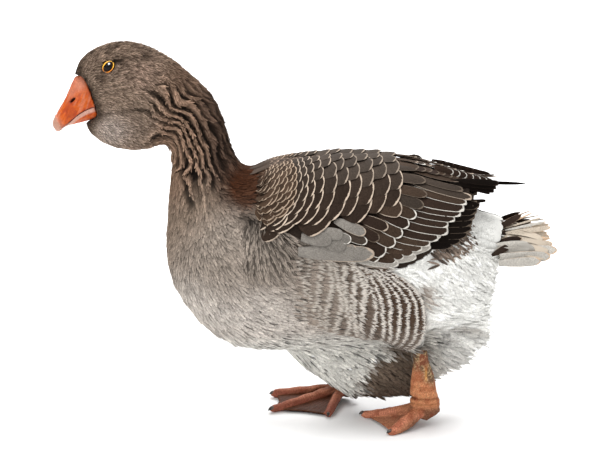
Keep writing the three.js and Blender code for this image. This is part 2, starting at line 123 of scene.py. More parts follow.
class Place:
    """Where points lie on the bird: the station number, the level from the back (0) to the front or belly
    (1), the turn round the body from the back (0) to the front (pi), and the way tailwards along it."""

    def __init__(self, points):
        self.points = points
        self.x, self.y, self.z = (points / MM).T
        back, front, half = PLANES[:, :2], PLANES[:, 2:4], PLANES[:, 4]
        reach = front - back
        off = points[:, None, (0, 2)] - back[None]
        cross = reach[None, :, 0] * off[..., 1] - reach[None, :, 1] * off[..., 0]
        level = (off * reach[None]).sum(2) / (reach**2).sum(1)[None]
        crossing = cross[:, :-1] * cross[:, 1:] <= 0
        cost = np.where(crossing, np.abs(level[:, :-1] - 0.5), 1e3)
        k = cost.argmin(1)
        ends = np.where(np.abs(cross[:, 0]) < np.abs(cross[:, -1]), 0, len(PLANES) - 2)
        k = np.where(cost.min(1) > 999, ends, k)
        rows = np.arange(len(points))
        a, b = cross[rows, k], cross[rows, k + 1]
        f = np.clip(a / np.where(np.abs(a - b) < 1e-15, 1, a - b), 0, 1)
        self.level = level[rows, k] * (1 - f) + level[rows, k + 1] * f
        self.station = (k + f) / SPINE_FINE
        self.turn = np.arctan2(np.abs(points[:, 1]) / half[k], 1 - 2 * self.level)
        step = PLANES[k + 1] - PLANES[k]
        way = step[:, :2] * (1 - self.level[:, None]) + step[:, 2:4] * self.level[:, None]
        self.way = unit(np.stack([way[:, 0], np.zeros(len(way)), way[:, 1]], 1))

    def near(self, x, z, size_x, size_z, tilt=0.0):
        """1 at a spot of the side view, falling to 0 over an oval of that size."""
        c, s = math.cos(math.radians(tilt)), math.sin(math.radians(tilt))
        u, w = self.x - x, self.z - z
        return np.exp(-(((u * c + w * s) / size_x) ** 2 + ((w * c - u * s) / size_z) ** 2))


def lumps(points, size, seed=0):
    """Smooth noise from 0 to 1 over space, with lumps of about that size."""
    p = points / size + seed * 17.31
    cell = np.floor(p).astype(np.int64)
    f = eased(p - cell)
    total = np.zeros(len(points))
    for corner in range(8):
        bits = np.array([corner & 1, corner >> 1 & 1, corner >> 2 & 1])
        at = cell + bits
        h = (at[:, 0] * 374761393 + at[:, 1] * 668265263 + at[:, 2] * 974634777 + seed * 144269) & 0xFFFFFFFF
        h = ((h ^ (h >> 13)) * 1274126177) & 0xFFFFFFFF
        total += ((h ^ (h >> 16)) & 0xFFFF) / 65535 * np.prod(np.where(bits, f, 1 - f), axis=1)
    return total


def new_piece(name, mesh):
    piece = bpy.data.objects.new(name, mesh)
    bpy.context.scene.collection.objects.link(piece)
    return piece


def points_of(mesh):
    co = np.empty(len(mesh.vertices) * 3, np.float32)
    mesh.vertices.foreach_get("co", co)
    return co.reshape(-1, 3).astype(float)


def normals_of(mesh):
    n = np.empty(len(mesh.vertices) * 3, np.float32)
    mesh.vertex_normals.foreach_get("vector", n)
    return n.reshape(-1, 3).astype(float)


def move_points(mesh, co):
    mesh.vertices.foreach_set("co", co.astype(np.float32).ravel())
    mesh.update()


def smooth_faces(mesh):
    mesh.polygons.foreach_set("use_smooth", np.ones(len(mesh.polygons), bool))


def keep_largest(mesh):
    """Drops the loose islands of a mesh, all but the largest."""
    ends = np.empty(len(mesh.edges) * 2, np.int32)
    mesh.edges.foreach_get("vertices", ends)
    ends = ends.reshape(-1, 2)
    island = np.arange(len(mesh.vertices))
    while True:
        low = np.minimum(island[ends[:, 0]], island[ends[:, 1]])
        new = island.copy()
        np.minimum.at(new, ends[:, 0], low)
        np.minimum.at(new, ends[:, 1], low)
        new = new[new]
        if (new == island).all():
            break
        island = new
    names, count = np.unique(island, return_counts=True)
    if len(names) == 1:
        return
    shell = bmesh.new()
    shell.from_mesh(mesh)
    shell.verts.ensure_lookup_table()
    loose = np.flatnonzero(island != names[count.argmax()])
    bmesh.ops.delete(shell, geom=[shell.verts[i] for i in loose], context="VERTS")
    shell.to_mesh(mesh)
    shell.free()


def moulded(name, nodes, voxel, rounds):
    """One closed piece moulded over CAD nodes: joined, made even in voxels of that size, and smoothed."""
    shell = bmesh.new()
    for node in nodes:
        shell.from_mesh(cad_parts[node].data)
    start = bpy.data.meshes.new(name + "_start")
    shell.to_mesh(start)
    shell.free()
    piece = new_piece(name, start)
    grain = piece.modifiers.new("even", "REMESH")
    grain.mode = "VOXEL"
    grain.voxel_size = voxel
    ease = piece.modifiers.new("ease", "SMOOTH")
    ease.factor = 0.5
    ease.iterations = rounds
    made = bpy.data.meshes.new_from_object(piece.evaluated_get(bpy.context.evaluated_depsgraph_get()))
    piece.modifiers.clear()
    piece.data = made
    made.name = name
    keep_largest(made)
    smooth_faces(made)
    return piece


# Depth of the plumage over the skin at the stations of SPINE, in mm.
COAT_DEPTH = {
    "bill": 0.6, "bill_root": 0.8, "forehead": 1.2, "brow": 1.4, "eye": 1.6, "crown": 1.8, "cheek": 2.2,
    "occiput": 2.8, "nape": 3.2, "throat": 3.4, "neck": 3.6, "neck_root": 4, "hollow": 4.5, "crop": 5,
    "breast": 5.5, "keel": 6, "shoulders": 6, "mid_back": 6.5, "flank": 7, "loin": 7, "hips": 7.5,
    "thighs": 8, "rump": 8.5, "vent": 8, "tail_root": 6,
}
THIN_SHARE = 0.34  # of the body's own thickness, the most that the plumage takes where it is thin
FURROWS = 24  # folds round the neck
FURROW_DEPTH = 5.6 * MM
EYE_CENTRE = (248, 18, 463)
EYE_RADIUS = 8.8
LID_TILT = 42  # degrees that the eye's opening leans back at the top
LID_REACH = (5.0, 7.3)  # half the opening, along the bird and upright
OPENING_RADIUS = 6.2  # of the opening as a circle
NAPE_THINNER = 2.8 * MM  # how much less plumage the back of the head and neck has
LEAST_COAT = 0.5 * MM
THICKEST = 0.06  # a body part thicker than this, in metres, keeps its whole depth of plumage
CREASE_DEPTH = 3.4 * MM
CREASE_WIDTH = 3.2  # mm
# x and z of the crease over the dewlap
CHEEK_CREASE = ((268, 399), (250, 404), (228, 408), (205, 409), (186, 404), (172, 393))


def furrow_mask(place):
    """How deep the folds of the neck are, from 0 to 1."""
    ragged = 1.2 * (lumps(place.points, 11 * MM, 5) - 0.5)
    start = ramp(place.station + ragged, 5.6 + 1.5 * ramp(place.level, 0.35, 0.1),
                 7.2 + ramp(place.level, 0.35, 0.1))
    low_edge = 12.3 - 2.9 * ramp(place.level, 0.62, 0.95)
    ends = 1 - ramp(place.station + ragged, low_edge - 1.4, low_edge + 0.4)
    nape = 0.4 + 0.6 * ramp(place.turn, 0.45, 1.1)
    return start * ends * nape


def furrow_phase(place):
    """Counts the folds round the neck: a whole number on each crest."""
    drift = 1.7 * (lumps(place.points, 34 * MM, 3) - 0.5) + 0.8 * (lumps(place.points, 15 * MM, 4) - 0.5)
    return place.turn / (2 * math.pi) * FURROWS + 0.22 * (place.station - 8) + drift


def furrow_hollow(place):
    """0 on a crest and 1 at the bottom of a fold."""
    off_crest = np.abs(furrow_phase(place) - np.round(furrow_phase(place))) * 2
    return ramp(off_crest, 0.30, 0.92)


def crease_share(place):
    """1 in the crease between the cheek and the dewlap, falling to 0 beside it."""
    x, z = np.array(CHEEK_CREASE[::-1], float).T
    off = place.z - np.interp(place.x, x, z) - 2.0 * (lumps(place.points, 16 * MM, 6) - 0.5)
    inside = ramp(place.x, 166, 178) * (1 - 0.75 * ramp(place.x, 205, 240)) * (1 - ramp(place.x, 252, 270))
    return np.exp(-((off / CREASE_WIDTH) ** 2)) * inside


def eye_offset(points, side):
    """How far out points lie from the axis of an eye, where 1 is the edge of its opening."""
    u = points[:, 0] / MM - EYE_CENTRE[0]
    w = points[:, 2] / MM - EYE_CENTRE[2]
    c, s = math.cos(math.radians(LID_TILT)), math.sin(math.radians(LID_TILT))
    far = np.hypot((u * c + w * s) / LID_REACH[0], (w * c - u * s) / LID_REACH[1])
    return np.where(points[:, 1] * side > 0, far, 99)


skin = moulded("skin", FLESH + ("eye_left", "eye_right"), SKIN_VOXEL, SKIN_EASE)
co, out = points_of(skin.data), normals_of(skin.data)
solid = BVHTree.FromPolygons([Vector(p) for p in co], [p.vertices[:] for p in skin.data.polygons])
place = Place(co)
depth = np.interp(place.station, range(len(SPINE)), list(COAT_DEPTH.values())) * MM
thin = ramp(place.level, 0.55, 0.2) * ramp(place.station, 1, 4) * (1 - ramp(place.station, 10.5, 12.5))
depth = np.maximum(depth - NAPE_THINNER * thin, LEAST_COAT)
for i in range(len(co)):
    start = Vector(co[i] - out[i] * 0.2 * MM)
    hit = solid.ray_cast(start, Vector(-out[i]), THICKEST)
    if hit[0] is not None:
        depth[i] = min(depth[i], THIN_SHARE * hit[3])
co -= out * depth[:, None]
co -= out * (FURROW_DEPTH * furrow_mask(place) * furrow_hollow(place))[:, None]
co -= out * (CREASE_DEPTH * crease_share(place) * (1 - furrow_mask(place)))[:, None]
for side in SIDES.values():
    off = eye_offset(co, side)
    dish = 1 - ramp(off, 1.15, 2.1)
    bulge = np.sqrt(np.clip(EYE_RADIUS**2 - (off * OPENING_RADIUS) ** 2, 9, None))
    ball = side * (EYE_CENTRE[1] + bulge - 1.0) * MM
    co[:, 1] = co[:, 1] * (1 - dish) + ball * dish
move_points(skin.data, co)
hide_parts(*FLESH)
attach(skin, "root")

# Finishes are node materials. A colour that changes over a piece is kept with its points as "tint".


def paint(piece, colours, name="tint"):
    """Keeps a linear colour for each point of a piece."""
    layer = piece.data.color_attributes.new(name, "FLOAT_COLOR", "POINT")
    rgba = np.ones((len(piece.data.vertices), 4), np.float32)
    rgba[:, :3] = colours
    layer.data.foreach_set("color", rgba.ravel())


def blended(base, other, share):
    """One colour for each point: base where share is 0, other where it is 1."""
    return base + (np.asarray(other, float) - base) * np.asarray(share)[..., None]


def add_node(tree, kind, inputs=None, **settings):
    """A node with its settings and its inputs, each a value or another node's output."""
    made = tree.nodes.new(kind)
    for key, value in settings.items():
        setattr(made, key, value)
    for key, value in (inputs or {}).items():
        if isinstance(value, bpy.types.NodeSocket):
            tree.links.new(value, made.inputs[key])
        else:
            made.inputs[key].default_value = value
    return made


def new_group(name, inputs, outputs):
    """A shader node group with named inputs, each with its kind and value, and named outputs."""
    group = bpy.data.node_groups.new(name, "ShaderNodeTree")
    for key, (kind, value) in inputs.items():
        socket = group.interface.new_socket(key, in_out="INPUT", socket_type=kind)
        socket.default_value = value
    for key, kind in outputs.items():
        group.interface.new_socket(key, in_out="OUTPUT", socket_type=kind)
    return group, group.nodes.new("NodeGroupInput"), group.nodes.new("NodeGroupOutput")


def use_group(tree, group, inputs):
    return add_node(tree, "ShaderNodeGroup", inputs, node_tree=group)


def grain_group():
    """Fine unevenness over a surface: its colour lighter and darker in specks, and its height for bump."""
    group, given, result = new_group(
        "surface_grain",
        {
            "Color": ("NodeSocketColor", (0.5, 0.5, 0.5, 1)),
            "Size": ("NodeSocketFloat", 300.0),
            "Light": ("NodeSocketFloat", 1.2),
            "Dark": ("NodeSocketFloat", 0.8),
        },
        {"Color": "NodeSocketColor", "Height": "NodeSocketFloat"},
    )
    where = add_node(group, "ShaderNodeTexCoord")
    specks = add_node(group, "ShaderNodeTexNoise", {
        "Vector": where.outputs["Object"], "Scale": given.outputs["Size"], "Detail": 4.0, "Roughness": 0.6})
    share = add_node(group, "ShaderNodeMapRange", {
        "Value": specks.outputs["Fac"], "From Min": 0.3, "From Max": 0.7,
        "To Min": given.outputs["Dark"], "To Max": given.outputs["Light"]})
    shade = add_node(group, "ShaderNodeVectorMath", {0: given.outputs["Color"]}, operation="SCALE")
    group.links.new(share.outputs["Result"], shade.inputs["Scale"])
    group.links.new(shade.outputs["Vector"], result.inputs["Color"])
    group.links.new(specks.outputs["Fac"], result.inputs["Height"])
    return group


GRAIN = grain_group()


def finish_of(name, roughness, grain, light=1.2, dark=0.8, bump=0.3, bump_depth=0.2 * MM, **fixed):
    """A finish in a piece's own tint, with grain in its colour and its surface. Returns it with its parts."""
    finish = bpy.data.materials.new(name)
    finish.use_nodes = True
    tree = finish.node_tree
    shader = tree.nodes["Principled BSDF"]
    tint = add_node(tree, "ShaderNodeAttribute", attribute_name="tint")
    specks = use_group(tree, GRAIN, {
        "Color": tint.outputs["Color"], "Size": grain, "Light": light, "Dark": dark})
    relief = add_node(tree, "ShaderNodeBump", {
        "Height": specks.outputs["Height"], "Strength": bump, "Distance": bump_depth})
    tree.links.new(specks.outputs["Color"], shader.inputs["Base Color"])
    tree.links.new(relief.outputs["Normal"], shader.inputs["Normal"])
    shader.inputs["Roughness"].default_value = roughness
    for key, value in fixed.items():
        shader.inputs[key.replace("_", " ")].default_value = value
    return finish, tree, shader, specks, relief


# ---- Eyes -----------------------------------------------------------------------------------------
# A dark brown eyeball with a clear bulge over the pupil and a small painted highlight on it, held by an oval
# rim of bare orange skin, the edge of the lids, which lies close on the ball.

EYE_BLACK = (0.004, 0.003, 0.003)
IRIS_BROWN = (0.022, 0.010, 0.005)
# The painted highlight: a pale spot painted on each eyeball, up and back of the pupil.
PAINTED_HIGHLIGHT_SPOT = (-1.3, 4.0, 1.1)  # back, up and radius in mm of the pale glint under the bulge
PAINTED_HIGHLIGHT_PALE = (0.75, 0.80, 0.85)
PUPIL_RADIUS = 4.3
RIM_DARK = (0.10, 0.050, 0.020)
RIM_YELLOW = (0.95, 0.50, 0.03)
RIM_ORANGE = (0.80, 0.25, 0.012)
RIM_THICKNESS = 0.78  # mm, half its own
RIM_STEPS = 48

eye_finish = finish_of("eye_gloss", 0.05, 900.0, 1.1, 0.9, 0.0, Specular_IOR_Level=0.12)[0]
rim_finish = finish_of("lid_rim", 0.4, 1500.0, 1.15, 0.85, 0.5, Specular_IOR_Level=0.6)[0]


def repeated(row, count):
    """The same colour or way, for so many points or feathers."""
    return np.tile(row, (count, 1))


def tube_round(path, radius, around):
    """A closed tube along a closed path: its points and faces."""
    count = len(path)
    ahead = unit(np.roll(path, -1, 0) - np.roll(path, 1, 0))
    middle = path.mean(0)
    outward = unit(path - middle)
    outward = unit(outward - ahead * (outward * ahead).sum(1)[:, None])
    third = np.cross(ahead, outward)
    angle = 2 * math.pi * np.arange(around) / around
    ring = (outward[:, None] * np.cos(angle)[None, :, None] + third[:, None] * np.sin(angle)[None, :, None])
    points = (path[:, None] + ring * radius).reshape(-1, 3)
    faces = [
        (i * around + j, i * around + (j + 1) % around,
         (i + 1) % count * around + (j + 1) % around, (i + 1) % count * around + j)
        for i in range(count) for j in range(around)
    ]
    return points, faces


for word, side in SIDES.items():
    centre = np.array([EYE_CENTRE[0], EYE_CENTRE[1] * side, EYE_CENTRE[2]]) * MM
    shell = bmesh.new()
    bmesh.ops.create_uvsphere(shell, u_segments=40, v_segments=28, radius=EYE_RADIUS * MM)
    ball = bpy.data.meshes.new("eyeball_" + word)
    shell.to_mesh(ball)
    shell.free()
    at = points_of(ball)[:, [0, 2, 1]] * [1, 1, side]
    outwards = unit(at)[:, 1] * side
    at *= (1 + 0.05 * ramp(outwards, 0.8, 1.0))[:, None]
    pupil = ramp(np.hypot(at[:, 0], at[:, 2]) / MM, PUPIL_RADIUS, PUPIL_RADIUS + 0.7)
    move_points(ball, at + centre)
    eyeball = new_piece("eyeball_" + word, ball)
    if side > 0:
        ball.flip_normals()
    smooth_faces(ball)
    # Painted highlight: the pale spot is painted into the eyeball's own colour.
    painted_highlight = ramp(np.hypot(at[:, 0] / MM - PAINTED_HIGHLIGHT_SPOT[0], at[:, 2] / MM - PAINTED_HIGHLIGHT_SPOT[1]), PAINTED_HIGHLIGHT_SPOT[2] + 0.3, PAINTED_HIGHLIGHT_SPOT[2] - 0.2)
    ball_tint = blended(repeated(EYE_BLACK, len(at)), IRIS_BROWN, pupil)
    paint(eyeball, blended(ball_tint, PAINTED_HIGHLIGHT_PALE, painted_highlight * (outwards > 0)))
    ball.materials.append(eye_finish)
    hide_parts("eye_" + word)
    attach(eyeball, "root")

    angle = np.linspace(0, 2 * math.pi, RIM_STEPS, endpoint=False)
    u = (LID_REACH[0] + 0.8 * RIM_THICKNESS) * np.cos(angle)
    w = (LID_REACH[1] + 0.8 * RIM_THICKNESS) * np.sin(angle)
    c, s = math.cos(math.radians(LID_TILT)), math.sin(math.radians(LID_TILT))
    x, z = u * c - w * s, u * s + w * c
    y = np.sqrt(EYE_RADIUS**2 - x**2 - z**2) * side
    rim_points, rim_faces = tube_round(centre + np.stack([x, y, z], 1) * MM, RIM_THICKNESS * MM, 10)
    rim_mesh = bpy.data.meshes.new("lid_rim_" + word)
    rim_mesh.from_pydata(rim_points.tolist(), [], rim_faces)
    if side < 0:
        rim_mesh.flip_normals()
    smooth_faces(rim_mesh)
    rim = new_piece("lid_rim_" + word, rim_mesh)
    high = rim_points[:, 2] / MM - EYE_CENTRE[2]
    rim_tint = blended(repeated(RIM_ORANGE, len(high)), RIM_YELLOW, ramp(high, -5, 2))
    paint(rim, blended(rim_tint, RIM_DARK, 0.6 * ramp(high, 5.5, 8)))
    rim_mesh.materials.append(rim_finish)
    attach(rim, "root")

# ---- Bill -----------------------------------------------------------------------------------------
# Horn over bone in two mandibles, orange and slightly rough, with a pale hooked nail at the tip, slanting
# nostrils that go in under the ridge, and combs along the pale edge of the lower one.

BILL_ORANGE = (0.47, 0.082, 0.007)
BILL_DEEP = (0.27, 0.028, 0.008)
BILL_PINK = (0.47, 0.18, 0.11)
NAIL_PALE = (0.42, 0.23, 0.165)
COMB_PALE = (0.55, 0.33, 0.26)
COMB_GROOVE_SHADE = (0.35, 0.12, 0.08)
NOSTRIL_SHADE = (0.03, 0.006, 0.004)
BILL_VOXEL, BILL_EASE = 0.75 * MM, 7
BILL_SLANT = np.array([0.41, 0, -0.91])  # from its root to its tip
NOSTRIL = (296, 419)
NOSTRIL_SLANT = 142  # degrees, its long way in the side view
MOUTH_EDGE = (
    (255, 412.5), (266, 411), (276, 408), (287, 402), (297, 393.8), (306, 386), (312, 380.5), (322, 368),
)
NAIL_EDGE = 315.5  # where the nail starts, along the slant of the tip
COMB_PITCH = 1.3  # mm from one tooth of the combs to the next

bill_finish, tree, shader, specks, relief = finish_of(
    "bill_horn", 0.42, 420.0, 1.14, 0.84, 0.35, 0.25 * MM, Specular_IOR_Level=0.2)


def mouth_height(x):
    """The level where the mandibles meet, for x in mm."""
    edge = np.array(MOUTH_EDGE)
    return np.interp(x, edge[:, 0], edge[:, 1])


for part in ("upper", "lower"):
    bill = moulded("bill_horn_" + part, ["bill_" + part], BILL_VOXEL, BILL_EASE)
    co, out = points_of(bill.data), normals_of(bill.data)
    place = Place(co)
    lift = 0.25 + 0.5 * (lumps(co, 5 * MM, 11) - 0.5) + 0.3 * (lumps(co, 2 * MM, 12) - 0.5)
    tints = repeated(BILL_ORANGE, len(co))
    tints = blended(tints, BILL_DEEP, 0.5 * ramp(lumps(co, 7 * MM, 13), 0.45, 0.8))
    along = co @ BILL_SLANT
    wrinkle = lumps(co - 0.75 * along[:, None] * BILL_SLANT, 2.4 * MM, 14)
    # Painted shade: the wrinkles' grooves, pressed in below, are painted darker.
    tints = blended(tints, BILL_DEEP, 0.55 * ramp(wrinkle, 0.55, 0.8))
    tints = blended(tints, BILL_PINK, 0.45 * ramp(wrinkle, 0.42, 0.25))
    lift -= 0.35 * ramp(wrinkle, 0.55, 0.8)
    below = mouth_height(place.x) - place.z
    if part == "upper":
        root = place.near(286, 440, 9, 10) + 0.6 * place.near(297, 428, 6, 8)
        tints = blended(tints, BILL_PINK, np.clip(root, 0, 0.75))
        slit = place.near(*NOSTRIL, 5.2, 2.0, NOSTRIL_SLANT)
        pit = place.near(*NOSTRIL, 8, 4.4, NOSTRIL_SLANT)
        lift -= 4.2 * ramp(slit, 0.25, 0.9) + 0.7 * pit
        tints = blended(tints, BILL_DEEP, 0.8 * place.near(298, 415, 7, 4, NOSTRIL_SLANT))
        # Painted shade: the slit is painted near black for the dark inside of the nostril.
        tints = blended(tints, NOSTRIL_SHADE, ramp(slit, 0.2, 0.6))
        lift -= 0.8 * place.near(303, 408, 2.5, 12, 25)
        to_tip = place.x + 0.55 * (395 - place.z)
        nail = ramp(to_tip, NAIL_EDGE, NAIL_EDGE + 3)
        lift += 0.7 * nail - 0.9 * ramp(1 - np.abs(to_tip - NAIL_EDGE + 0.3) / 1.6, 0, 1)
        tints = blended(tints, BILL_PINK, 0.6 * ramp(to_tip, 308, 316))
        tints = blended(tints, NAIL_PALE, 0.9 * nail)
        tints = blended(tints, BILL_DEEP, 0.7 * ramp(below, -2.2, -0.4))
    else:
        comb = ramp(below, 7.5, 5.5) * ramp(place.x, 262, 272) * (1 - ramp(place.x, 309, 315))
        teeth = np.abs(((place.x - 0.35 * place.z) / COMB_PITCH) % 1 - 0.5) * 2
        lift -= comb * (0.5 + 0.5 * teeth)
        tints = blended(tints, COMB_PALE, 0.95 * comb)
        # Painted shade: the grooves between the comb's teeth are painted darker.
        tints = blended(tints, COMB_GROOVE_SHADE, 0.35 * comb * teeth)
        tints = blended(tints, NAIL_PALE, 0.7 * ramp(place.x, 312, 318))
        tints = blended(tints, BILL_DEEP, 0.45 * ramp(below, 8, 16))
    move_points(bill.data, co + out * (lift * MM)[:, None])
    paint(bill, tints)
    bill.data.materials.append(bill_finish)
    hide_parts("bill_" + part)
    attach(bill, "root")

# ---- Legs and feet --------------------------------------------------------------------------------
# Bare skin over bone and sinew: round scales on the shank and the ankle, broad scutes over each toe, and
# thin creased webs between the toes. The shank's upper end is darker where the plumage stops.

SHANK_ORANGE = (0.55, 0.225, 0.105)
SHANK_DUSKY = (0.125, 0.078, 0.048)
FAR_LEG_SHADED = (0.060, 0.018, 0.007)
TOE_PINK = (0.64, 0.25, 0.155)
WEB_BROWN = (0.50, 0.22, 0.125)
SCALE_GOLD = (0.56, 0.38, 0.20)
FAR_TOE_SHADED = (0.34, 0.105, 0.07)
SCUTE_RED, ANKLE_CREASE_SHADE, BLOTCH_RED = (0.20, 0.055, 0.03), (0.10, 0.03, 0.015), (0.26, 0.06, 0.03)
STREAK_GOLD = (0.62, 0.30, 0.09)
SCUTE_PITCH, KNUCKLE_PITCH = 3.4, 26  # mm along a toe
WEB_PITCH = 4.5  # degrees from one crease of the web to the next
LEG_VOXEL, LEG_EASE = 0.95 * MM, 4
CLAW_VOXEL, CLAW_EASE = 0.35 * MM, 3
ANKLE_EASE = 24  # more rounds of smoothing, where shank and foot meet
TOES = ("inner", "middle", "outer")
CLAW_DARK, CLAW_PALE = (0.020, 0.016, 0.014), (0.16, 0.11, 0.09)


def scale_group():
    """Round scales with dark creases between them: the colour, and the height for bump."""
    group, given, result = new_group(
        "leg_scales",
        {
            "Color": ("NodeSocketColor", (0.5, 0.2, 0.1, 1)),
            "Crease": ("NodeSocketFloat", 0.6),
            "Size": ("NodeSocketFloat", 380.0),
        },
        {"Color": "NodeSocketColor", "Height": "NodeSocketFloat"},
    )
    where = add_node(group, "ShaderNodeTexCoord")
    cells = add_node(group, "ShaderNodeTexVoronoi", {
        "Vector": where.outputs["Object"], "Scale": given.outputs["Size"]}, feature="DISTANCE_TO_EDGE")
    height = add_node(group, "ShaderNodeMapRange", {
        "Value": cells.outputs["Distance"], "From Min": 0.0, "From Max": 0.2})
    share = add_node(group, "ShaderNodeMapRange", {
        "Value": height.outputs["Result"], "To Min": given.outputs["Crease"], "To Max": 1.06})
    shade = add_node(group, "ShaderNodeVectorMath", {0: given.outputs["Color"]}, operation="SCALE")
    group.links.new(share.outputs["Result"], shade.inputs["Scale"])
    group.links.new(shade.outputs["Vector"], result.inputs["Color"])
    group.links.new(height.outputs["Result"], result.inputs["Height"])
    return group


SCALES = scale_group()


def leg_finish(name, crease, size):
    finish, tree, shader, specks, relief = finish_of(
        name, 0.55, 420.0, 1.3, 0.7, 0.55, 0.22 * MM, Specular_IOR_Level=0.03)
    scales = use_group(tree, SCALES, {"Color": specks.outputs["Color"], "Crease": crease, "Size": size})
    tree.links.new(scales.outputs["Color"], shader.inputs["Base Color"])
    tree.links.new(scales.outputs["Height"], relief.inputs["Height"])
    return finish


skin_of_leg = leg_finish("leg_skin", 0.62, 640.0)
claw_finish = finish_of("claw_horn", 0.35, 500.0, 1.3, 0.7, 0.2)[0]


def centre_of(node):
    low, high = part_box(node)
    return (np.array(low) + np.array(high)) / 2


for word, side in SIDES.items():
    leg = moulded("leg_" + word, ["shank_" + word, "foot_" + word], LEG_VOXEL, LEG_EASE)
    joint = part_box("foot_" + word)[1][2]
    shell = bmesh.new()
    shell.from_mesh(leg.data)
    round_joint = [v for v in shell.verts if joint - 16 * MM < v.co.z < joint + 12 * MM]
    for _ in range(ANKLE_EASE):
        bmesh.ops.smooth_vert(shell, verts=round_joint, factor=0.5, use_axis_x=True, use_axis_y=True,
                              use_axis_z=True)
    shell.to_mesh(leg.data)
    shell.free()
    co, out = points_of(leg.data), normals_of(leg.data)
    ankle = centre_of("shank_" + word) * [1, 1, 0] + [0, 0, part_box("foot_" + word)[1][2] * 0.5]
    lift = 0.35 * (lumps(co, 4 * MM, 21) - 0.5)
    near_toe = np.zeros(len(co))
    scute = np.zeros(len(co))
    for toe in TOES:
        tip = centre_of("claw_%s_%s" % (toe, word))
        run = tip - ankle
        length = np.linalg.norm(run)
        t = np.clip((co - ankle) @ run / length**2, 0, 1)
        far = np.linalg.norm(co - (ankle + t[:, None] * run), axis=1) / MM
        close = 1 - ramp(far, 6.5, 10)
        ring = np.abs((t * length / MM / SCUTE_PITCH) % 1 - 0.5) * 2
        knuckle = np.abs((t * length / (KNUCKLE_PITCH * MM)) % 1 - 0.5) * 2
        lift += (close * ramp(t, 0.15, 0.3) * (0.45 * (1 - ring**4) + 0.9 * (1 - knuckle))
                 * ramp(out[:, 2], 0, 0.5))
        scute = np.maximum(scute, close * ring**4 * ramp(t, 0.15, 0.3) * ramp(out[:, 2], 0, 0.4))
        near_toe = np.maximum(near_toe, close)
    up = co[:, 2] / MM
    crease_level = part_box("foot_" + word)[1][2] / MM - 6
    crease = (np.exp(-(((up - crease_level) / 1.6) ** 2))
              + 0.6 * np.exp(-(((up - crease_level + 7) / 1.3) ** 2)))
    lift -= 0.55 * crease * (1 - near_toe * ramp(up, 30, 10))
    sole = ramp(up, 2.2, 0.6)
    bearing = np.degrees(np.arctan2(co[:, 1] - ankle[1], co[:, 0] - ankle[0]))
    web_fold = np.abs((bearing / WEB_PITCH) % 1 - 0.5) * 2
    on_web = (1 - near_toe) * ramp(up, 32, 22)
    lift += 0.5 * on_web * (web_fold - 0.5)
    move_points(leg.data, co + out * (lift * (1 - sole) * MM)[:, None])
    tints = repeated(SHANK_ORANGE, len(co))
    tints = blended(tints, TOE_PINK, 0.8 * near_toe * ramp(up, 30, 14))
    tints = blended(tints, WEB_BROWN, 0.9 * on_web)
    # Painted shade on the web: darker towards the ankle, and darker along each fold.
    shade_near_ankle = 1 - ramp(np.linalg.norm(co - ankle, axis=1) / MM, 16, 52)
    tints = blended(tints, 0.35 * np.array(WEB_BROWN), 0.7 * shade_near_ankle * on_web)
    tints = tints * (1 - 0.35 * on_web * web_fold)[:, None]
    tints = blended(tints, SCUTE_RED, 0.5 * np.clip(scute, 0, 1))
    back = ramp(-(co[:, 0] / MM - centre_of("shank_" + word)[0] / MM), -9, 12)
    dusky = ramp(up + 20 * back + 12 * (lumps(co, 9 * MM, 22) - 0.5), 66, 90)
    tints = blended(tints, SHANK_DUSKY, 0.94 * dusky)
    flecks = ramp(lumps(co, 1.9 * MM, 23), 0.56, 0.68) * np.clip(0.3 * ramp(up, 30, 44) + dusky, 0, 1)
    tints = blended(tints, SCALE_GOLD, 0.75 * flecks)
    streak = ramp(np.abs(back - 0.55), 0.16, 0.05) * ramp(up, 62, 70) * ramp(up, 88, 80)
    tints = blended(tints, STREAK_GOLD, 0.7 * streak * (out[:, 1] * side > 0))
    # Painted shade in the creases across the ankle.
    tints = blended(tints, ANKLE_CREASE_SHADE, 0.6 * np.clip(crease, 0, 1))
    tints = blended(tints, BLOTCH_RED, 0.5 * ramp(lumps(co, 7 * MM, 24), 0.5, 0.8))
    # Painted shade: the far leg is painted darker than the near one, its web and lower shank most.
    if side < 0:
        tints = blended(tints, FAR_LEG_SHADED, 0.9 * np.maximum(on_web, ramp(up, 12, 26)))
        tints = blended(tints, FAR_TOE_SHADED, 0.8 * near_toe * ramp(up, 16, 8)) * 0.85
    paint(leg, tints)
    leg.data.materials.append(skin_of_leg)
    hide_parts("shank_" + word, "foot_" + word)
    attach(leg, "root")

    for toe in TOES + ("hind",):
        name = "claw_%s_%s" % (toe, word)
        claw = moulded("claw_horn_%s_%s" % (toe, word), [name], CLAW_VOXEL, CLAW_EASE)
        co = points_of(claw.data)
        away = unit(centre_of(name) - ankle)
        reach = co @ away / MM
        reach -= reach.min()
        move_points(claw.data, co - away * (0.30 * reach * MM)[:, None])
        paint(claw, blended(repeated(CLAW_DARK, len(co)), CLAW_PALE,
                            ramp(reach / reach.max(), 0.75, 0.2) * 0.7))
        claw.data.materials.append(claw_finish)
        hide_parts(name)
        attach(claw, "root")

# ---- Markings -------------------------------------------------------------------------------------
# The colours of a grey dewlap goose, which its skin and its feathers share: brown-grey head and neck, paler
# breast, whitish belly, white rear, and dark brown wings.

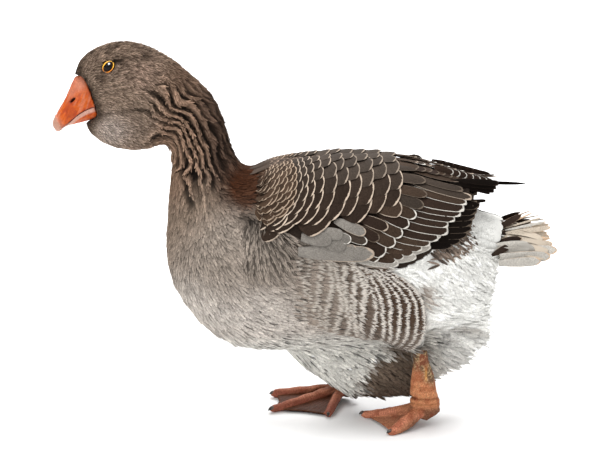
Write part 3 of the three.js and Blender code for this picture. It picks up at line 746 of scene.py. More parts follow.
CROWN_BROWN = (0.160, 0.113, 0.083)
CHEEK_BROWN = (0.198, 0.143, 0.106)
EAR_FAWN = (0.255, 0.174, 0.132)
LORE_DARK = (0.060, 0.040, 0.028)
DEWLAP_PALE = (0.312, 0.257, 0.220)
DEWLAP_SHADE = (0.185, 0.137, 0.106)
NECK_BROWN = (0.150, 0.096, 0.066)
NAPE_DARK = (0.038, 0.024, 0.018)
RUST = (0.034, 0.0105, 0.0036)
CROP_BROWN = (0.158, 0.118, 0.089)
BREAST_GREY = (0.225, 0.189, 0.158)
BREAST_PALE = (0.395, 0.358, 0.323)
BELLY_WHITE = (0.515, 0.500, 0.462)
BACK_BROWN = (0.120, 0.086, 0.062)
SIDE_GREY = (0.250, 0.213, 0.180)
FLANK_DARK = (0.060, 0.038, 0.026)
DIRT_AND_SHADE_BROWN = (0.074, 0.048, 0.030)
HIDDEN_SKIN_SHADE = (0.022, 0.015, 0.011)
REAR_WHITE = (0.645, 0.640, 0.612)
REAR_GREY = (0.210, 0.187, 0.164)
CREASE_SPOT = (66, 283)  # where the side's streaks start, under the fore edge of the wing


def feather_line_gap(place):
    """How far behind the edge of the bill points of the head lie, in mm of the side view."""
    edge_x = np.interp(place.z, (385, 401, 413, 425, 441, 449), (279, 265, 267.3, 271, 277.5, 290))
    return edge_x - place.x


def fan_share(place):
    """1 where the side's feathers fan out from the crease under the wing, falling to 0 round it."""
    down = CREASE_SPOT[1] - place.z
    return ramp(down, -4, 8) * (1 - ramp(down, 50, 95)) * ramp(92 - place.x, 0, 24) * ramp(place.x, -20, 12)


def fan_streaks(place):
    """0 to 1 across the streaks that fan out from the crease."""
    turn = np.arctan2(CREASE_SPOT[0] - place.x, CREASE_SPOT[1] + 16 - place.z)
    drift = 0.06 * (lumps(place.points, 24 * MM, 35) - 0.5)
    return 0.5 + 0.5 * np.cos((turn + drift) * 62)


def off_eyes(points):
    """How far out points lie from the nearer eye, where 1 is the edge of its opening."""
    return np.minimum(eye_offset(points, 1), eye_offset(points, -1))


def plumage(place):
    """The ground colour of the plumage at each point, with painted shade and painted highlights in its folds
    and creases.
    """
    x, z, level, station = place.x, place.z, place.level, place.station
    soft = 1.0 + 0.9 * (lumps(place.points, 42 * MM, 31) - 0.5)
    tint = repeated(BREAST_GREY, len(x))
    tint = blended(tint, BREAST_PALE, ramp(z + 16 * soft, 240, 165))
    tint = blended(tint, BACK_BROWN, ramp(level, 0.34, 0.16) * ramp(station, 11, 13.5))
    tint = blended(tint, SIDE_GREY, 0.8 * ramp(x, 40, -30) * ramp(z, 120, 150))
    tint = blended(tint, BELLY_WHITE, ramp(z + 14 * soft + 0.10 * x, 160, 122))
    behind = np.maximum(ramp(-x + 0.22 * (z - 180) + 8 * soft, 152, 166),
                        ramp(-x, 96, 112) * ramp(z, 196, 208))
    tint = blended(tint, REAR_WHITE, behind * (1 - ramp(z, 276, 296)))
    tint = blended(tint, REAR_GREY, 0.38 * ramp(z + 12 * soft, 150, 80) * ramp(-x, 150, 170))
    # Painted shade along the fold low on the rear: a thin line, and a soft patch at its front end.
    tint = blended(tint, REAR_GREY,
                   0.75 * place.near(-200, 124, 26, 4, 8) + 0.4 * place.near(-176, 110, 14, 12))
    # Stained feathers and painted shade in one: a patchy dark brown on the low belly by the legs.
    patchy = lumps(place.points, 11 * MM, 38) - 0.5
    dirt_and_shade = ramp(-x - 0.80 * (z - 30) + 36 * patchy, 36, 58) * ramp(z + 30 * patchy, 122, 100)
    tint = blended(tint, DIRT_AND_SHADE_BROWN, 0.94 * dirt_and_shade * (1 - ramp(-x, 140, 165)))
    tint = blended(tint, CROP_BROWN, 1 - ramp(station + 0.35 * soft, 12.4, 14.6))
    tint = blended(tint, NECK_BROWN, 1 - ramp(station + 0.5 * soft, 10.8, 12.8))
    nape = ramp(level + 0.1 * soft, 0.62, 0.22) * ramp(station, 6.2, 9.5) * (1 - ramp(station, 12.6, 14))
    tint = blended(tint, NAPE_DARK, 0.85 * nape)
    tint = blended(tint, RUST, np.clip(1.4 * place.near(80, 314, 25, 27), 0, 0.92))
    head = 1 - ramp(station + 0.5 * soft, 6.0, 7.8)
    tint = blended(tint, CHEEK_BROWN, head)
    tint = blended(tint, CROWN_BROWN, head * ramp(level, 0.4, 0.15))
    tint = blended(tint, EAR_FAWN, 0.75 * place.near(203, 452, 28, 18) * head)
    # Painted shade low on the head, behind the dewlap's pale middle.
    tint = blended(tint, DEWLAP_SHADE, 0.75 * place.near(215, 384, 30, 20) * head)
    tint = blended(tint, DEWLAP_PALE, np.clip(1.2 * place.near(248, 381, 19, 18, -10), 0, 0.92))
    tint = blended(tint, LORE_DARK, 0.85 * ramp(feather_line_gap(place), 13, 2) * head)
    tint = blended(tint, LORE_DARK, 0.5 * place.near(258, 447, 9, 9) * head)
    tint = blended(tint, LORE_DARK, 0.8 * place.near(237, 471, 8, 3, -25) * head)
    tint = blended(tint, LORE_DARK, 0.7 * place.near(256, 446, 3.5, 3.5) * head)
    tint = tint * (1 + head * (1.1 * lumps(place.points, 2.0 * MM, 39) - 0.55))[:, None]
    streaky = lumps(place.points * (1.0, 1.0, 1.6), 6.5 * MM, 36)
    tint = tint * (1 - 0.55 * head * ramp(streaky, 0.50, 0.78) * ramp(level, 0.62, 0.2))[:, None]
    folded, hollow = furrow_mask(place), furrow_hollow(place)
    # Painted shade down in the folds of the neck, and a painted highlight along each crest.
    tint = tint * (1 - 0.90 * folded * ramp(hollow, 0.02, 0.45))[:, None]
    tint = tint * (1 + 0.75 * folded * ramp(hollow, 0.20, 0.0))[:, None]
    # Painted shade in the crease between the cheek and the dewlap.
    tint = tint * (1 - 0.80 * crease_share(place) * (1 - furrow_mask(place)))[:, None]
    tint = tint * (1.14 - 0.80 * fan_share(place) * ramp(fan_streaks(place), 0.6, 0.1))[:, None]
    lids = off_eyes(place.points)
    tint = tint * (1 - 0.75 * ramp(lids, 1.75, 1.3) * ramp(z, 460, 467))[:, None]
    # Painted shade in the crease under the fore edge of the wing.
    tint = tint * (1 - 0.93 * place.near(71, 281, 14, 3.6, 12) * ramp(np.abs(place.y), 40, 60))[:, None]
    mottle = (0.86 + 0.28 * lumps(place.points, 9 * MM, 32)) * (0.7 + 0.6 * lumps(place.points, 3.2 * MM, 33))
    return tint * mottle[:, None]


WING_SHELL = np.array([  # outside of the folded wing: x; lower edge y, z; upper edge y, z
    (58, 97, 270, 34, 331), (48, 110, 262, 30, 335), (28, 120, 253, 26, 340), (4, 125, 239, 21, 345.5),
    (-44, 128, 226, 17, 350.5), (-96, 126, 222, 15, 349.5), (-122, 121, 218, 14, 345),
    (-150, 112, 231, 13, 338), (-176, 99, 250, 12, 330), (-200, 83, 265, 11, 322.5),
    (-220, 62, 292, 12, 315.5), (-250, 36, 305, 22, 308.5), (-290, 34, 303, 26, 306),
])[::-1]


def wing_shell(x, column):
    return np.interp(x, WING_SHELL[:, 0], WING_SHELL[:, column])


def under_wing(place, edge):
    """Where the skin is hidden by the folded wing, by more than an edge in mm."""
    low_z, top_y = wing_shell(place.x, 2), wing_shell(place.x, 3)
    return (place.x < 52 - edge) & (place.z > low_z + 3 + edge) & (np.abs(place.y) > top_y + 2 + edge)


under_feathers = Place(points_of(skin.data))
ground_tint = plumage(under_feathers)
# Painted shade: the skin is painted darker than the plumage over it, less so under pale plumage, so the gaps
# between feathers look shaded.
ground_tint *= 0.5 + 0.42 * ramp(ground_tint[:, :1], 0.42, 0.62)
# Under the folded wing and high on the rear between the wings the skin is painted near black, as painted
# shade.
high_rear = ramp(-under_feathers.x, 95, 110) * ramp(under_feathers.z, 282, 292)
paint(skin, blended(ground_tint, HIDDEN_SKIN_SHADE, np.maximum(under_wing(under_feathers, 0), high_rear)))
skin.data.materials.append(finish_of("hide", 0.9, 500.0, 1.25, 0.75, 0.4, Specular_IOR_Level=0.1)[0])

skin.data.uv_layers.new(name="OFBake")
bpy.context.view_layer.objects.active = skin
skin.select_set(True)
bpy.ops.object.mode_set(mode="EDIT")
bpy.ops.mesh.select_all(action="SELECT")
bpy.ops.uv.smart_project(angle_limit=math.radians(66), island_margin=0.002)
bpy.ops.object.mode_set(mode="OBJECT")
skin.select_set(False)

# ---- Feather making -------------------------------------------------------------------------------
# A feather is a closed thin blade that lies on the skin with its root under the tip of the one before it.
# Small ones are three-sided, with the shaft as a ridge. Their spots come from an even scatter over the skin.


class Ground:
    """The skin as triangles, for spots to be taken from it and for feathers to lie along it."""

    def __init__(self, piece):
        mesh = piece.data
        mesh.calc_loop_triangles()
        count = len(mesh.loop_triangles)
        corners = np.empty(count * 3, np.int32)
        mesh.loop_triangles.foreach_get("vertices", corners)
        loops = np.empty(count * 3, np.int32)
        mesh.loop_triangles.foreach_get("loops", loops)
        uv = np.empty(len(mesh.loops) * 2, np.float32)
        mesh.uv_layers["OFBake"].data.foreach_get("uv", uv)
        points, out = points_of(mesh), normals_of(mesh)
        self.corners = points[corners].reshape(-1, 3, 3)
        self.out = out[corners].reshape(-1, 3, 3)
        self.uv = uv.reshape(-1, 2)[loops].reshape(-1, 3, 2)
        sides = self.corners[:, 1:] - self.corners[:, :1]
        self.area = np.linalg.norm(np.cross(sides[:, 0], sides[:, 1]), axis=1) / 2
        self.middle = Place(self.corners.mean(1))
        self.tree = BVHTree.FromPolygons([Vector(p) for p in points], corners.reshape(-1, 3).tolist())

    def scatter(self, gap, seed):
        """Spots at least a gap apart, with gap in mm for each triangle and 0 for none: their points, ways
        out, places on the map, and gaps."""
        dice = np.random.default_rng(seed)
        share = np.where(gap > 0, self.area / np.maximum(gap * MM, 1e-9) ** 2, 0)
        tries = int(3.0 * share.sum())
        face = dice.choice(len(share), tries, p=share / share.sum())
        a, b = dice.random(tries), dice.random(tries)
        flip = a + b > 1
        a, b = np.where(flip, 1 - a, a), np.where(flip, 1 - b, b)
        weight = np.stack([1 - a - b, a, b], 1)[:, :, None]
        points = (self.corners[face] * weight).sum(1)
        tree = KDTree(tries)
        for i, p in enumerate(points):
            tree.insert(p, i)
        tree.balance()
        free, kept = np.ones(tries, bool), []
        reach = gap[face] * MM
        for i in range(tries):
            if free[i]:
                kept.append(i)
                for _, j, _ in tree.find_range(points[i], reach[i]):
                    free[j] = False
        face, weight = face[kept], weight[kept]
        return (points[kept], unit((self.out[face] * weight).sum(1)), (self.uv[face] * weight).sum(1),
                gap[face])

    def below(self, points):
        """The nearest points of the skin, the ways out there and the places on the map."""
        near, out, face = np.empty_like(points), np.empty_like(points), np.empty(len(points), int)
        for i, p in enumerate(points):
            near[i], out[i], face[i], _ = self.tree.find_nearest(p)
        return near, out, self.uv[face].mean(1)


ground = Ground(skin)


def lie(out, way):
    """The way, turned to lie flat on the skin."""
    return unit(way - out * (way * out).sum(1)[:, None])


def turned(way, out, angle):
    """The ways turned round the ways out, by angles in radians."""
    return way * np.cos(angle)[:, None] + np.cross(out, way) * np.sin(angle)[:, None]


def run_over(points, out, way, length, steps, follow):
    """The middle line of each feather, in steps from its root, and the way out along it. It follows the skin
    where follow is true, and is straight where a feather is too short for that to matter."""
    middle = points[:, None] + way[:, None] * (length[:, None] * steps[None])[:, :, None]
    outs = np.repeat(out[:, None], len(steps), 1)
    if follow:
        for k in range(1, len(steps)):
            ahead = middle[:, k - 1] + unit(way) * (length * (steps[k] - steps[k - 1]))[:, None]
            middle[:, k], outs[:, k], _ = ground.below(ahead)
            outs[:, k] = unit(outs[:, k] + outs[:, k - 1])
            way = lie(outs[:, k], way)
    return middle, outs


def blades(name, middle, outs, width, steps, shape, lift, thick, loop, maps, map_size, attributes, roll=0.0,
           bend=0.0):
    """One piece of many closed blades. middle and outs are the line and the way out at each step; shape is
    the share of the width at each step, lift the height over the skin, thick the thickness, and loop the
    section's corners: across from -1 to 1, and up from 0 to 1. roll lifts one edge by that share of the half
    width, and bend lowers both edges by that times the square of the half width."""
    count, rings = middle.shape[:2]
    loop = np.array(loop, float)
    corners = len(loop)
    ahead = unit(np.gradient(middle, axis=1))
    side = unit(np.cross(ahead, outs))
    up = np.cross(side, ahead)
    across = loop[:, 0][None, None, :, None] * (width[:, None] * shape / 2)[:, :, None, None]
    high = (lift[:, :, None] + loop[:, 1][None, None] * (thick[:, None] * shape)[:, :, None])[..., None]
    high = high + np.reshape(roll, (-1, 1, 1, 1)) * across - bend * across**2
    points = middle[:, :, None] + side[:, :, None] * across + up[:, :, None] * high
    points = points.reshape(-1, 3)
    each = rings * corners
    quads = np.array([
        (k * corners + m, k * corners + (m + 1) % corners,
         (k + 1) * corners + (m + 1) % corners, (k + 1) * corners + m)
        for k in range(rings - 1) for m in range(corners)
    ])
    caps = np.array([list(range(corners))[::-1], [each - corners + m for m in range(corners)]])
    first = (np.arange(count) * each)[:, None]
    loops = np.concatenate([(first + quads.ravel()), (first + caps.ravel())], 1).ravel()
    sizes = np.tile([4] * len(quads) + [corners] * 2, count)
    mesh = bpy.data.meshes.new(name)
    mesh.vertices.add(len(points))
    mesh.vertices.foreach_set("co", points.astype(np.float32).ravel())
    mesh.loops.add(len(loops))
    mesh.loops.foreach_set("vertex_index", loops.astype(np.int32))
    mesh.polygons.add(len(sizes))
    mesh.polygons.foreach_set("loop_start", np.concatenate([[0], np.cumsum(sizes)[:-1]]).astype(np.int32))
    smooth_faces(mesh)
    mesh.update(calc_edges=True)
    local = loops % each
    ring, corner = local // corners, local % corners
    u = (loop[corner, 0] + 1) / 2
    v = steps[ring]
    vane = mesh.uv_layers.new(name="vane")
    vane.data.foreach_set("uv", np.stack([u, v], 1).astype(np.float32).ravel())
    size = np.broadcast_to(map_size, count)
    spot = maps[loops // each] + (np.stack([u, v], 1) - 0.5) * size[loops // each][:, None]
    bake = mesh.uv_layers.new(name="OFBake")
    bake.data.foreach_set("uv", spot.astype(np.float32).ravel())
    mesh.uv_layers.active = bake
    rims = np.flatnonzero(np.abs(loop[:, 0]) == 1)
    ends = np.empty(len(mesh.edges) * 2, np.int32)
    mesh.edges.foreach_get("vertices", ends)
    ends = ends.reshape(-1, 2) % each % corners
    sharp = mesh.attributes.new("sharp_edge", "BOOLEAN", "EDGE")
    sharp.data.foreach_set("value", (ends[:, 0] == ends[:, 1]) & np.isin(ends[:, 0], rims))
    piece = new_piece(name, mesh)
    for key, colours in attributes.items():
        paint(piece, np.repeat(colours, each, axis=0), key)
    return piece


# The section of a small feather, and at each step of its length the share of its width.
PLUME_LOOP = ((-1, 0), (0, 1), (1, 0))
PLUME_STEPS = np.array([0, 0.4, 0.78, 1.0])
PLUME_SHAPE = np.array([0.5, 1.0, 0.85, 0.14])
DOWN_STEPS = np.array([0, 0.5, 1.0])
DOWN_SHAPE = np.array([0.7, 1.0, 0.12])
MOST_PLUMES = 9500  # blades in one piece
ROOT_SINK = 0.3 * MM  # how deep the roots stand in the skin
BAKE_PATCH = 0.003  # side of each feather's patch on the skin's map


def plumes_at(name, points, out, maps, way, long, wide, rise, tint, fringe, finish, slot, follow=False,
              steps=PLUME_STEPS, shape=PLUME_SHAPE, thick=0.2, curl=0.0):
    """Small feathers with their roots at points of the skin; rise is how steeply each leaves the skin, and
    curl how far its tip bends back to it."""
    middle, outs = run_over(points, out, way, long, steps, follow)
    lift = long[:, None] * (rise[:, None] * steps[None] - curl * steps[None] ** 3) - ROOT_SINK
    station = Place(points).station
    parts = max(1, math.ceil(len(points) / MOST_PLUMES))
    for n, chosen in enumerate(np.array_split(np.argsort(station, kind="stable"), parts)):
        piece = blades(
            name if parts == 1 else "%s_%d" % (name, n + 1),
            middle[chosen], outs[chosen], wide[chosen], steps, shape[None], lift[chosen],
            wide[chosen] * thick, PLUME_LOOP, maps[chosen], BAKE_PATCH,
            {"tint": tint[chosen], "fringe": fringe[chosen]})
        piece.data.materials.append(finish)
        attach(piece, "root")


def lay_plumes(name, gap, length, width, tilt, finish, seed, slot="body_plumage", way_of=None, stray=0.2,
               paler=0.4, ragged=0.2, uneven=0.25, dashes=None, **more):
    """Small feathers scattered over part of the skin. gap (mm, 0 for none) and the sizes are functions of a
    Place; tilt is how steeply they rise, stray how much their ways differ, paler how much paler the tips are,
    and dashes the share of dark ones."""
    points, out, maps, _ = ground.scatter(gap(ground.middle), seed)
    dice = np.random.default_rng(seed + 1)
    count = len(points)
    place = Place(points)
    way = place.way + np.array([0, 0, -0.12])
    if way_of:
        way = way_of(place, out, way)
    way = turned(lie(out, way), out, stray * dice.normal(size=count))
    tint = plumage(place) * dice.uniform(1 - uneven, 1 + uneven, count)[:, None]
    if dashes:
        tint[dice.random(count) < dashes(place)] *= 0.3
    plumes_at(name, points, out, maps, way, length(place) * MM * dice.uniform(1 - ragged, 1 + ragged, count),
              width(place) * MM * dice.uniform(0.85, 1.15, count),
              tilt(place) * dice.uniform(0.75, 1.25, count),
              tint, np.clip(tint * (1 + paler), 0, 0.85), finish, slot, **more)


def vane_group():
    """What a feather shows along its vane: a darker root, a pale fringe round the tip, and the barbs."""
    group, given, result = new_group(
        "vane_marks",
        {
            "Color": ("NodeSocketColor", (0.5, 0.5, 0.5, 1)),
            "Fringe": ("NodeSocketColor", (0.7, 0.6, 0.5, 1)),
            "Tip": ("NodeSocketFloat", 0.1),
            "Edge": ("NodeSocketFloat", 0.1),
            "Edge From": ("NodeSocketFloat", 0.5),
            "Root": ("NodeSocketFloat", 0.7),
            "Barbs": ("NodeSocketFloat", 0.2),
            "Fineness": ("NodeSocketFloat", 40.0),
        },
        {"Color": "NodeSocketColor", "Height": "NodeSocketFloat"},
    )

    def maths(operation, a, b=0.0, clamp=False):
        made = add_node(group, "ShaderNodeMath", {0: a, 1: b}, operation=operation)
        made.use_clamp = clamp
        return made.outputs[0]

    chart = add_node(group, "ShaderNodeUVMap", uv_map="vane")
    split = add_node(group, "ShaderNodeSeparateXYZ", {"Vector": chart.outputs["UV"]})
    across = maths("MULTIPLY", maths("ABSOLUTE", maths("SUBTRACT", split.outputs["X"], 0.5)), 2.0)
    along = split.outputs["Y"]
    barb = maths("MULTIPLY", maths("SUBTRACT", along, maths("MULTIPLY", across, 0.22)),
                 given.outputs["Fineness"])
    own = add_node(group, "ShaderNodeAttribute", attribute_name="tint")
    strand = add_node(group, "ShaderNodeCombineXYZ", {
        0: barb, 1: maths("MULTIPLY", split.outputs["X"], 3.0),
        2: maths("MULTIPLY", own.outputs["Fac"], 900.0)})
    barbs = add_node(group, "ShaderNodeTexNoise", {"Vector": strand.outputs[0], "Scale": 1.0, "Detail": 2.0})
    wavering = maths("MULTIPLY", maths("SUBTRACT", barbs.outputs["Fac"], 0.5), 0.07)
    tip_from = maths("SUBTRACT", 1.0, given.outputs["Tip"])
    tip_at = maths("ADD", maths("ADD", along, wavering),
                   maths("MULTIPLY", maths("MULTIPLY", across, across), 0.12))
    tip = maths("DIVIDE", maths("SUBTRACT", tip_at, tip_from),
                maths("MULTIPLY", given.outputs["Tip"], 0.35), True)
    edge_from = maths("SUBTRACT", 1.0, given.outputs["Edge"])
    edge_at = maths("ADD", across, wavering)
    edge = maths("DIVIDE", maths("SUBTRACT", edge_at, edge_from),
                 maths("MULTIPLY", given.outputs["Edge"], 0.4), True)
    edge = maths("MULTIPLY", edge,
                 maths("MULTIPLY", maths("SUBTRACT", along, given.outputs["Edge From"]), 8.0, True))
    rim = maths("MAXIMUM", tip, edge, True)
    rooted = add_node(group, "ShaderNodeMapRange", {
        "Value": along, "From Min": 0.0, "From Max": 0.75, "To Min": given.outputs["Root"], "To Max": 1.0})
    fine = maths("ADD", 1.0, maths("MULTIPLY", maths("SUBTRACT", barbs.outputs["Fac"], 0.5),
                                   maths("MULTIPLY", given.outputs["Barbs"], 2.0)))
    shade = add_node(group, "ShaderNodeVectorMath", {0: given.outputs["Color"]}, operation="SCALE")
    group.links.new(maths("MULTIPLY", rooted.outputs[0], fine), shade.inputs["Scale"])
    mixed = add_node(group, "ShaderNodeMix", {
        "Factor": rim, 6: shade.outputs["Vector"], 7: given.outputs["Fringe"]}, data_type="RGBA")
    group.links.new(mixed.outputs[2], result.inputs["Color"])
    group.links.new(barbs.outputs["Fac"], result.inputs["Height"])
    return group


VANE = vane_group()


def feather_finish(name, tip=0.12, edge=0.0001, edge_from=0.5, root=0.6, barbs=0.25, fineness=40.0):
    """A feather's finish, in its own tint and fringe."""
    finish, tree, shader, specks, relief = finish_of(
        name, 0.85, 600.0, 1.28, 0.72, 0.25, 0.15 * MM, Specular_IOR_Level=0.04)
    pale = add_node(tree, "ShaderNodeAttribute", attribute_name="fringe").outputs["Color"]
    marks = use_group(tree, VANE, {
        "Color": specks.outputs["Color"], "Fringe": pale, "Tip": tip, "Edge": edge,
        "Edge From": edge_from, "Root": root, "Barbs": barbs, "Fineness": fineness})
    tree.links.new(marks.outputs["Color"], shader.inputs["Base Color"])
    tree.links.new(marks.outputs["Height"], relief.inputs["Height"])
    return finish


# ---- Head and neck plumage ------------------------------------------------------------------------
# Short, dense plumes like velvet, which point back from the bill and grow longer towards the neck. Over the
# folds of the neck they lie in locks along each crest.

velvet_finish = feather_finish("head_plume", tip=0.35, root=0.5, barbs=0.3, fineness=6.0)
lock_finish = feather_finish("neck_plume", tip=0.2, root=0.7, barbs=0.35, fineness=8.0)

HEAD_END, NECK_END = 7.6, 13.4  # stations where the plumes of the head and of the neck end


def in_fold(place):
    """True down in the folds of the neck, where no plumes show."""
    return furrow_mask(place) * furrow_hollow(place) > 0.36


def on_head(place):
    gap = 1.2 + 0.3 * ramp(place.station, 2, 6) + 0.3 * ramp(place.station, 6, 8)
    bare_bill = feather_line_gap(place) < 0.2
    eyes = off_eyes(place.points) < 1.28
    return np.where((place.station > HEAD_END) | bare_bill | eyes | in_fold(place), 0, gap)


def to_crests(place, out, way):
    """Turns the ways along the folds of the neck, and leans them a little towards each crest."""
    way = lie(out, way)
    across = np.cross(out, way)

    def slope(step):
        ahead, behind = Place(place.points + step * 1.5 * MM), Place(place.points - step * 1.5 * MM)
        return furrow_phase(ahead) - furrow_phase(behind)

    side_slope, way_slope = slope(across), slope(way)
    side_slope = np.sign(side_slope) * np.maximum(np.abs(side_slope), 0.08)
    along = unit(way - across * np.clip(way_slope / side_slope, -1.6, 1.6)[:, None])
    off = furrow_phase(place)
    off = (off - np.round(off)) * np.sign(side_slope)
    along = turned(along, out, -0.5 * np.sin(off * 2 * math.pi))
    return unit(way + (along - way) * np.clip(1.5 * furrow_mask(place), 0, 1)[:, None])


lay_plumes(
    "plumes_head", on_head,
    length=lambda p: 3.8 + 3.2 * ramp(p.station, 1.5, 6.5),
    width=lambda p: 1.25 + 0.5 * ramp(p.station, 2, 6.5),
    tilt=lambda p: (0.15 + 0.05 * ramp(p.station, 2, 6)
                    + 0.10 * ramp(p.level, 0.5, 0.2) * ramp(p.station, 2, 5)),
    finish=velvet_finish, seed=101, slot="head_plumage", stray=0.25, paler=0.3, uneven=0.4,
    way_of=to_crests, steps=DOWN_STEPS, shape=DOWN_SHAPE, thick=0.3)


def on_neck(place):
    gap = 1.75 + 0.6 * ramp(place.station, 10.5, 13.2)
    off = (place.station <= HEAD_END) | (place.station > NECK_END) | in_fold(place)
    return np.where(off, 0, gap)


lay_plumes(
    "plumes_neck", on_neck,
    length=lambda p: 10 + 2 * ramp(p.station, 10.5, 13),
    width=lambda p: 1.8 + 0.8 * ramp(p.station, 10.5, 13),
    tilt=lambda p: 0.13 + 0.05 * furrow_mask(p) + 0.08 * ramp(p.level, 0.5, 0.2),
    finish=lock_finish, seed=111, slot="head_plumage", stray=0.10, paler=0.3,
    way_of=to_crests, thick=0.3)

# ---- Body plumage ---------------------------------------------------------------------------------
# Contour feathers of breast, back, sides and belly, all pointing tailwards, with loose white down round the
# rear. The flank feathers stand in upright rows that show as pale and dark bars.

body_finish = feather_finish("body_plume", tip=0.25, root=0.88, barbs=0.45, fineness=7.0)
down_finish = feather_finish("rear_plume", tip=0.3, root=1.0, barbs=0.12, fineness=8.0)
flank_finish = feather_finish("flank_feather", tip=0.34, root=1.0, barbs=0.4, fineness=8.0)
thigh_finish = feather_finish("thigh_feather", tip=0.22, root=1.0, barbs=0.3, fineness=10.0)

FLANK_TOP = ((-158, -150, -140, -125, -100, -60, 10, 70), (140, 172, 192, 206, 219, 229, 236, 244))  # x, z
FLANK_LOW = ((-150, -130, -60, 10, 70), (106, 112, 128, 160, 190))
FLANK_GREY = (0.235, 0.195, 0.163)
FLANK_TIP, THIGH_TIP = (0.43, 0.385, 0.335), (0.70, 0.65, 0.59)


def on_flank(place):
    """True in the barred flank under the wing."""
    low, top = np.interp(place.x, *FLANK_LOW), np.interp(place.x, *FLANK_TOP)
    return (place.x < -14) & (place.x > -158) & (place.z > low) & (place.z < top) & (np.abs(place.y) > 50)


def rear_share(place):
    """1 where the loose white plumage of the rear takes over."""
    behind = np.maximum(ramp(-place.x + 0.22 * (place.z - 180), 148, 160),
                        ramp(-place.x, 100, 112) * (place.z > np.interp(place.x, *FLANK_TOP)))
    return behind * (1 - ramp(place.z, 285, 300))


def from_crease(place, out, way):
    """Turns the ways to fan out from the crease under the fore edge of the wing."""
    side = place.x - CREASE_SPOT[0]
    away = np.stack([side, 0 * side, place.z - CREASE_SPOT[1] - 14], 1)
    share = fan_share(place)[:, None]
    hang = np.array([0, 0, -0.7]) * ramp(place.z, 130, 85)[:, None]
    return lie(out, way) * (1 - share) + unit(away) * share + hang


def wing_front(place):
    """1 along the front of the folded wing, where the breast's feathers stand up over it."""
    return (ramp(place.x, 30, 42) * (1 - ramp(place.x, 60, 76)) * ramp(place.z, 262, 276)
            * (np.abs(place.y) > 16))


def on_body(place):
    gap = 2.4 + 0.3 * ramp(place.x, 40, -60) - 0.5 * fan_share(place)
    off = (place.station <= 13.0) | (place.station > 24) | under_wing(place, 16) | on_flank(place)
    top = (place.level < 0.12) & (place.x < 22)
    return np.where(off | top | (rear_share(place) > 0.6), 0, gap)


lay_plumes(
    "plumes_body", on_body,
    length=lambda p: 11 + 5 * ramp(p.z, 170, 110) + 3 * fan_share(p),
    width=lambda p: 2.7 + 0.5 * ramp(p.x, 60, -60) - 0.7 * fan_share(p),
    tilt=lambda p: 0.09 + 0.02 * ramp(p.z, 160, 110) + 0.32 * wing_front(p),
    finish=body_finish, seed=201, stray=0.13, paler=0.14, uneven=0.18, thick=0.16, way_of=from_crease,
    ragged=0.3, dashes=lambda p: 0.05 * ramp(p.z, 200, 170) * ramp(p.x, 100, 40) + 0.03 * ramp(p.z, 120, 90))


def on_rear(place):
    off = (place.station < 16) | (place.x < -243) | under_wing(place, -3) | on_flank(place)
    return np.where(off | (rear_share(place) <= 0.45), 0, 2.9)


def sagging(place, out, way):
    """Lets the rear plumes hang."""
    return lie(out, way) + np.array([0, 0, -0.35])


lay_plumes(
    "plumes_rear", on_rear,
    length=lambda p: 20 + 0 * p.x,
    width=lambda p: 3.6 + 0 * p.x,
    tilt=lambda p: 0.075 + 0 * p.x,
    finish=down_finish, seed=221, stray=0.20, paler=0.03, uneven=0.06, thick=0.12, ragged=0.35,
    way_of=sagging, slot="white_plumage")


def side_hits(x, z, side):
    """Points of the skin's side at places of the side view, where there are any, and which they are."""
    found, kept = [], []
    for i in range(len(x)):
        hit = ground.tree.ray_cast(Vector((x[i] * MM, side * 0.25, z[i] * MM)), Vector((0, -side, 0)))
        if hit[0] is not None:
            found.append(hit[0])
            kept.append(i)
    return np.array(found), np.array(kept)


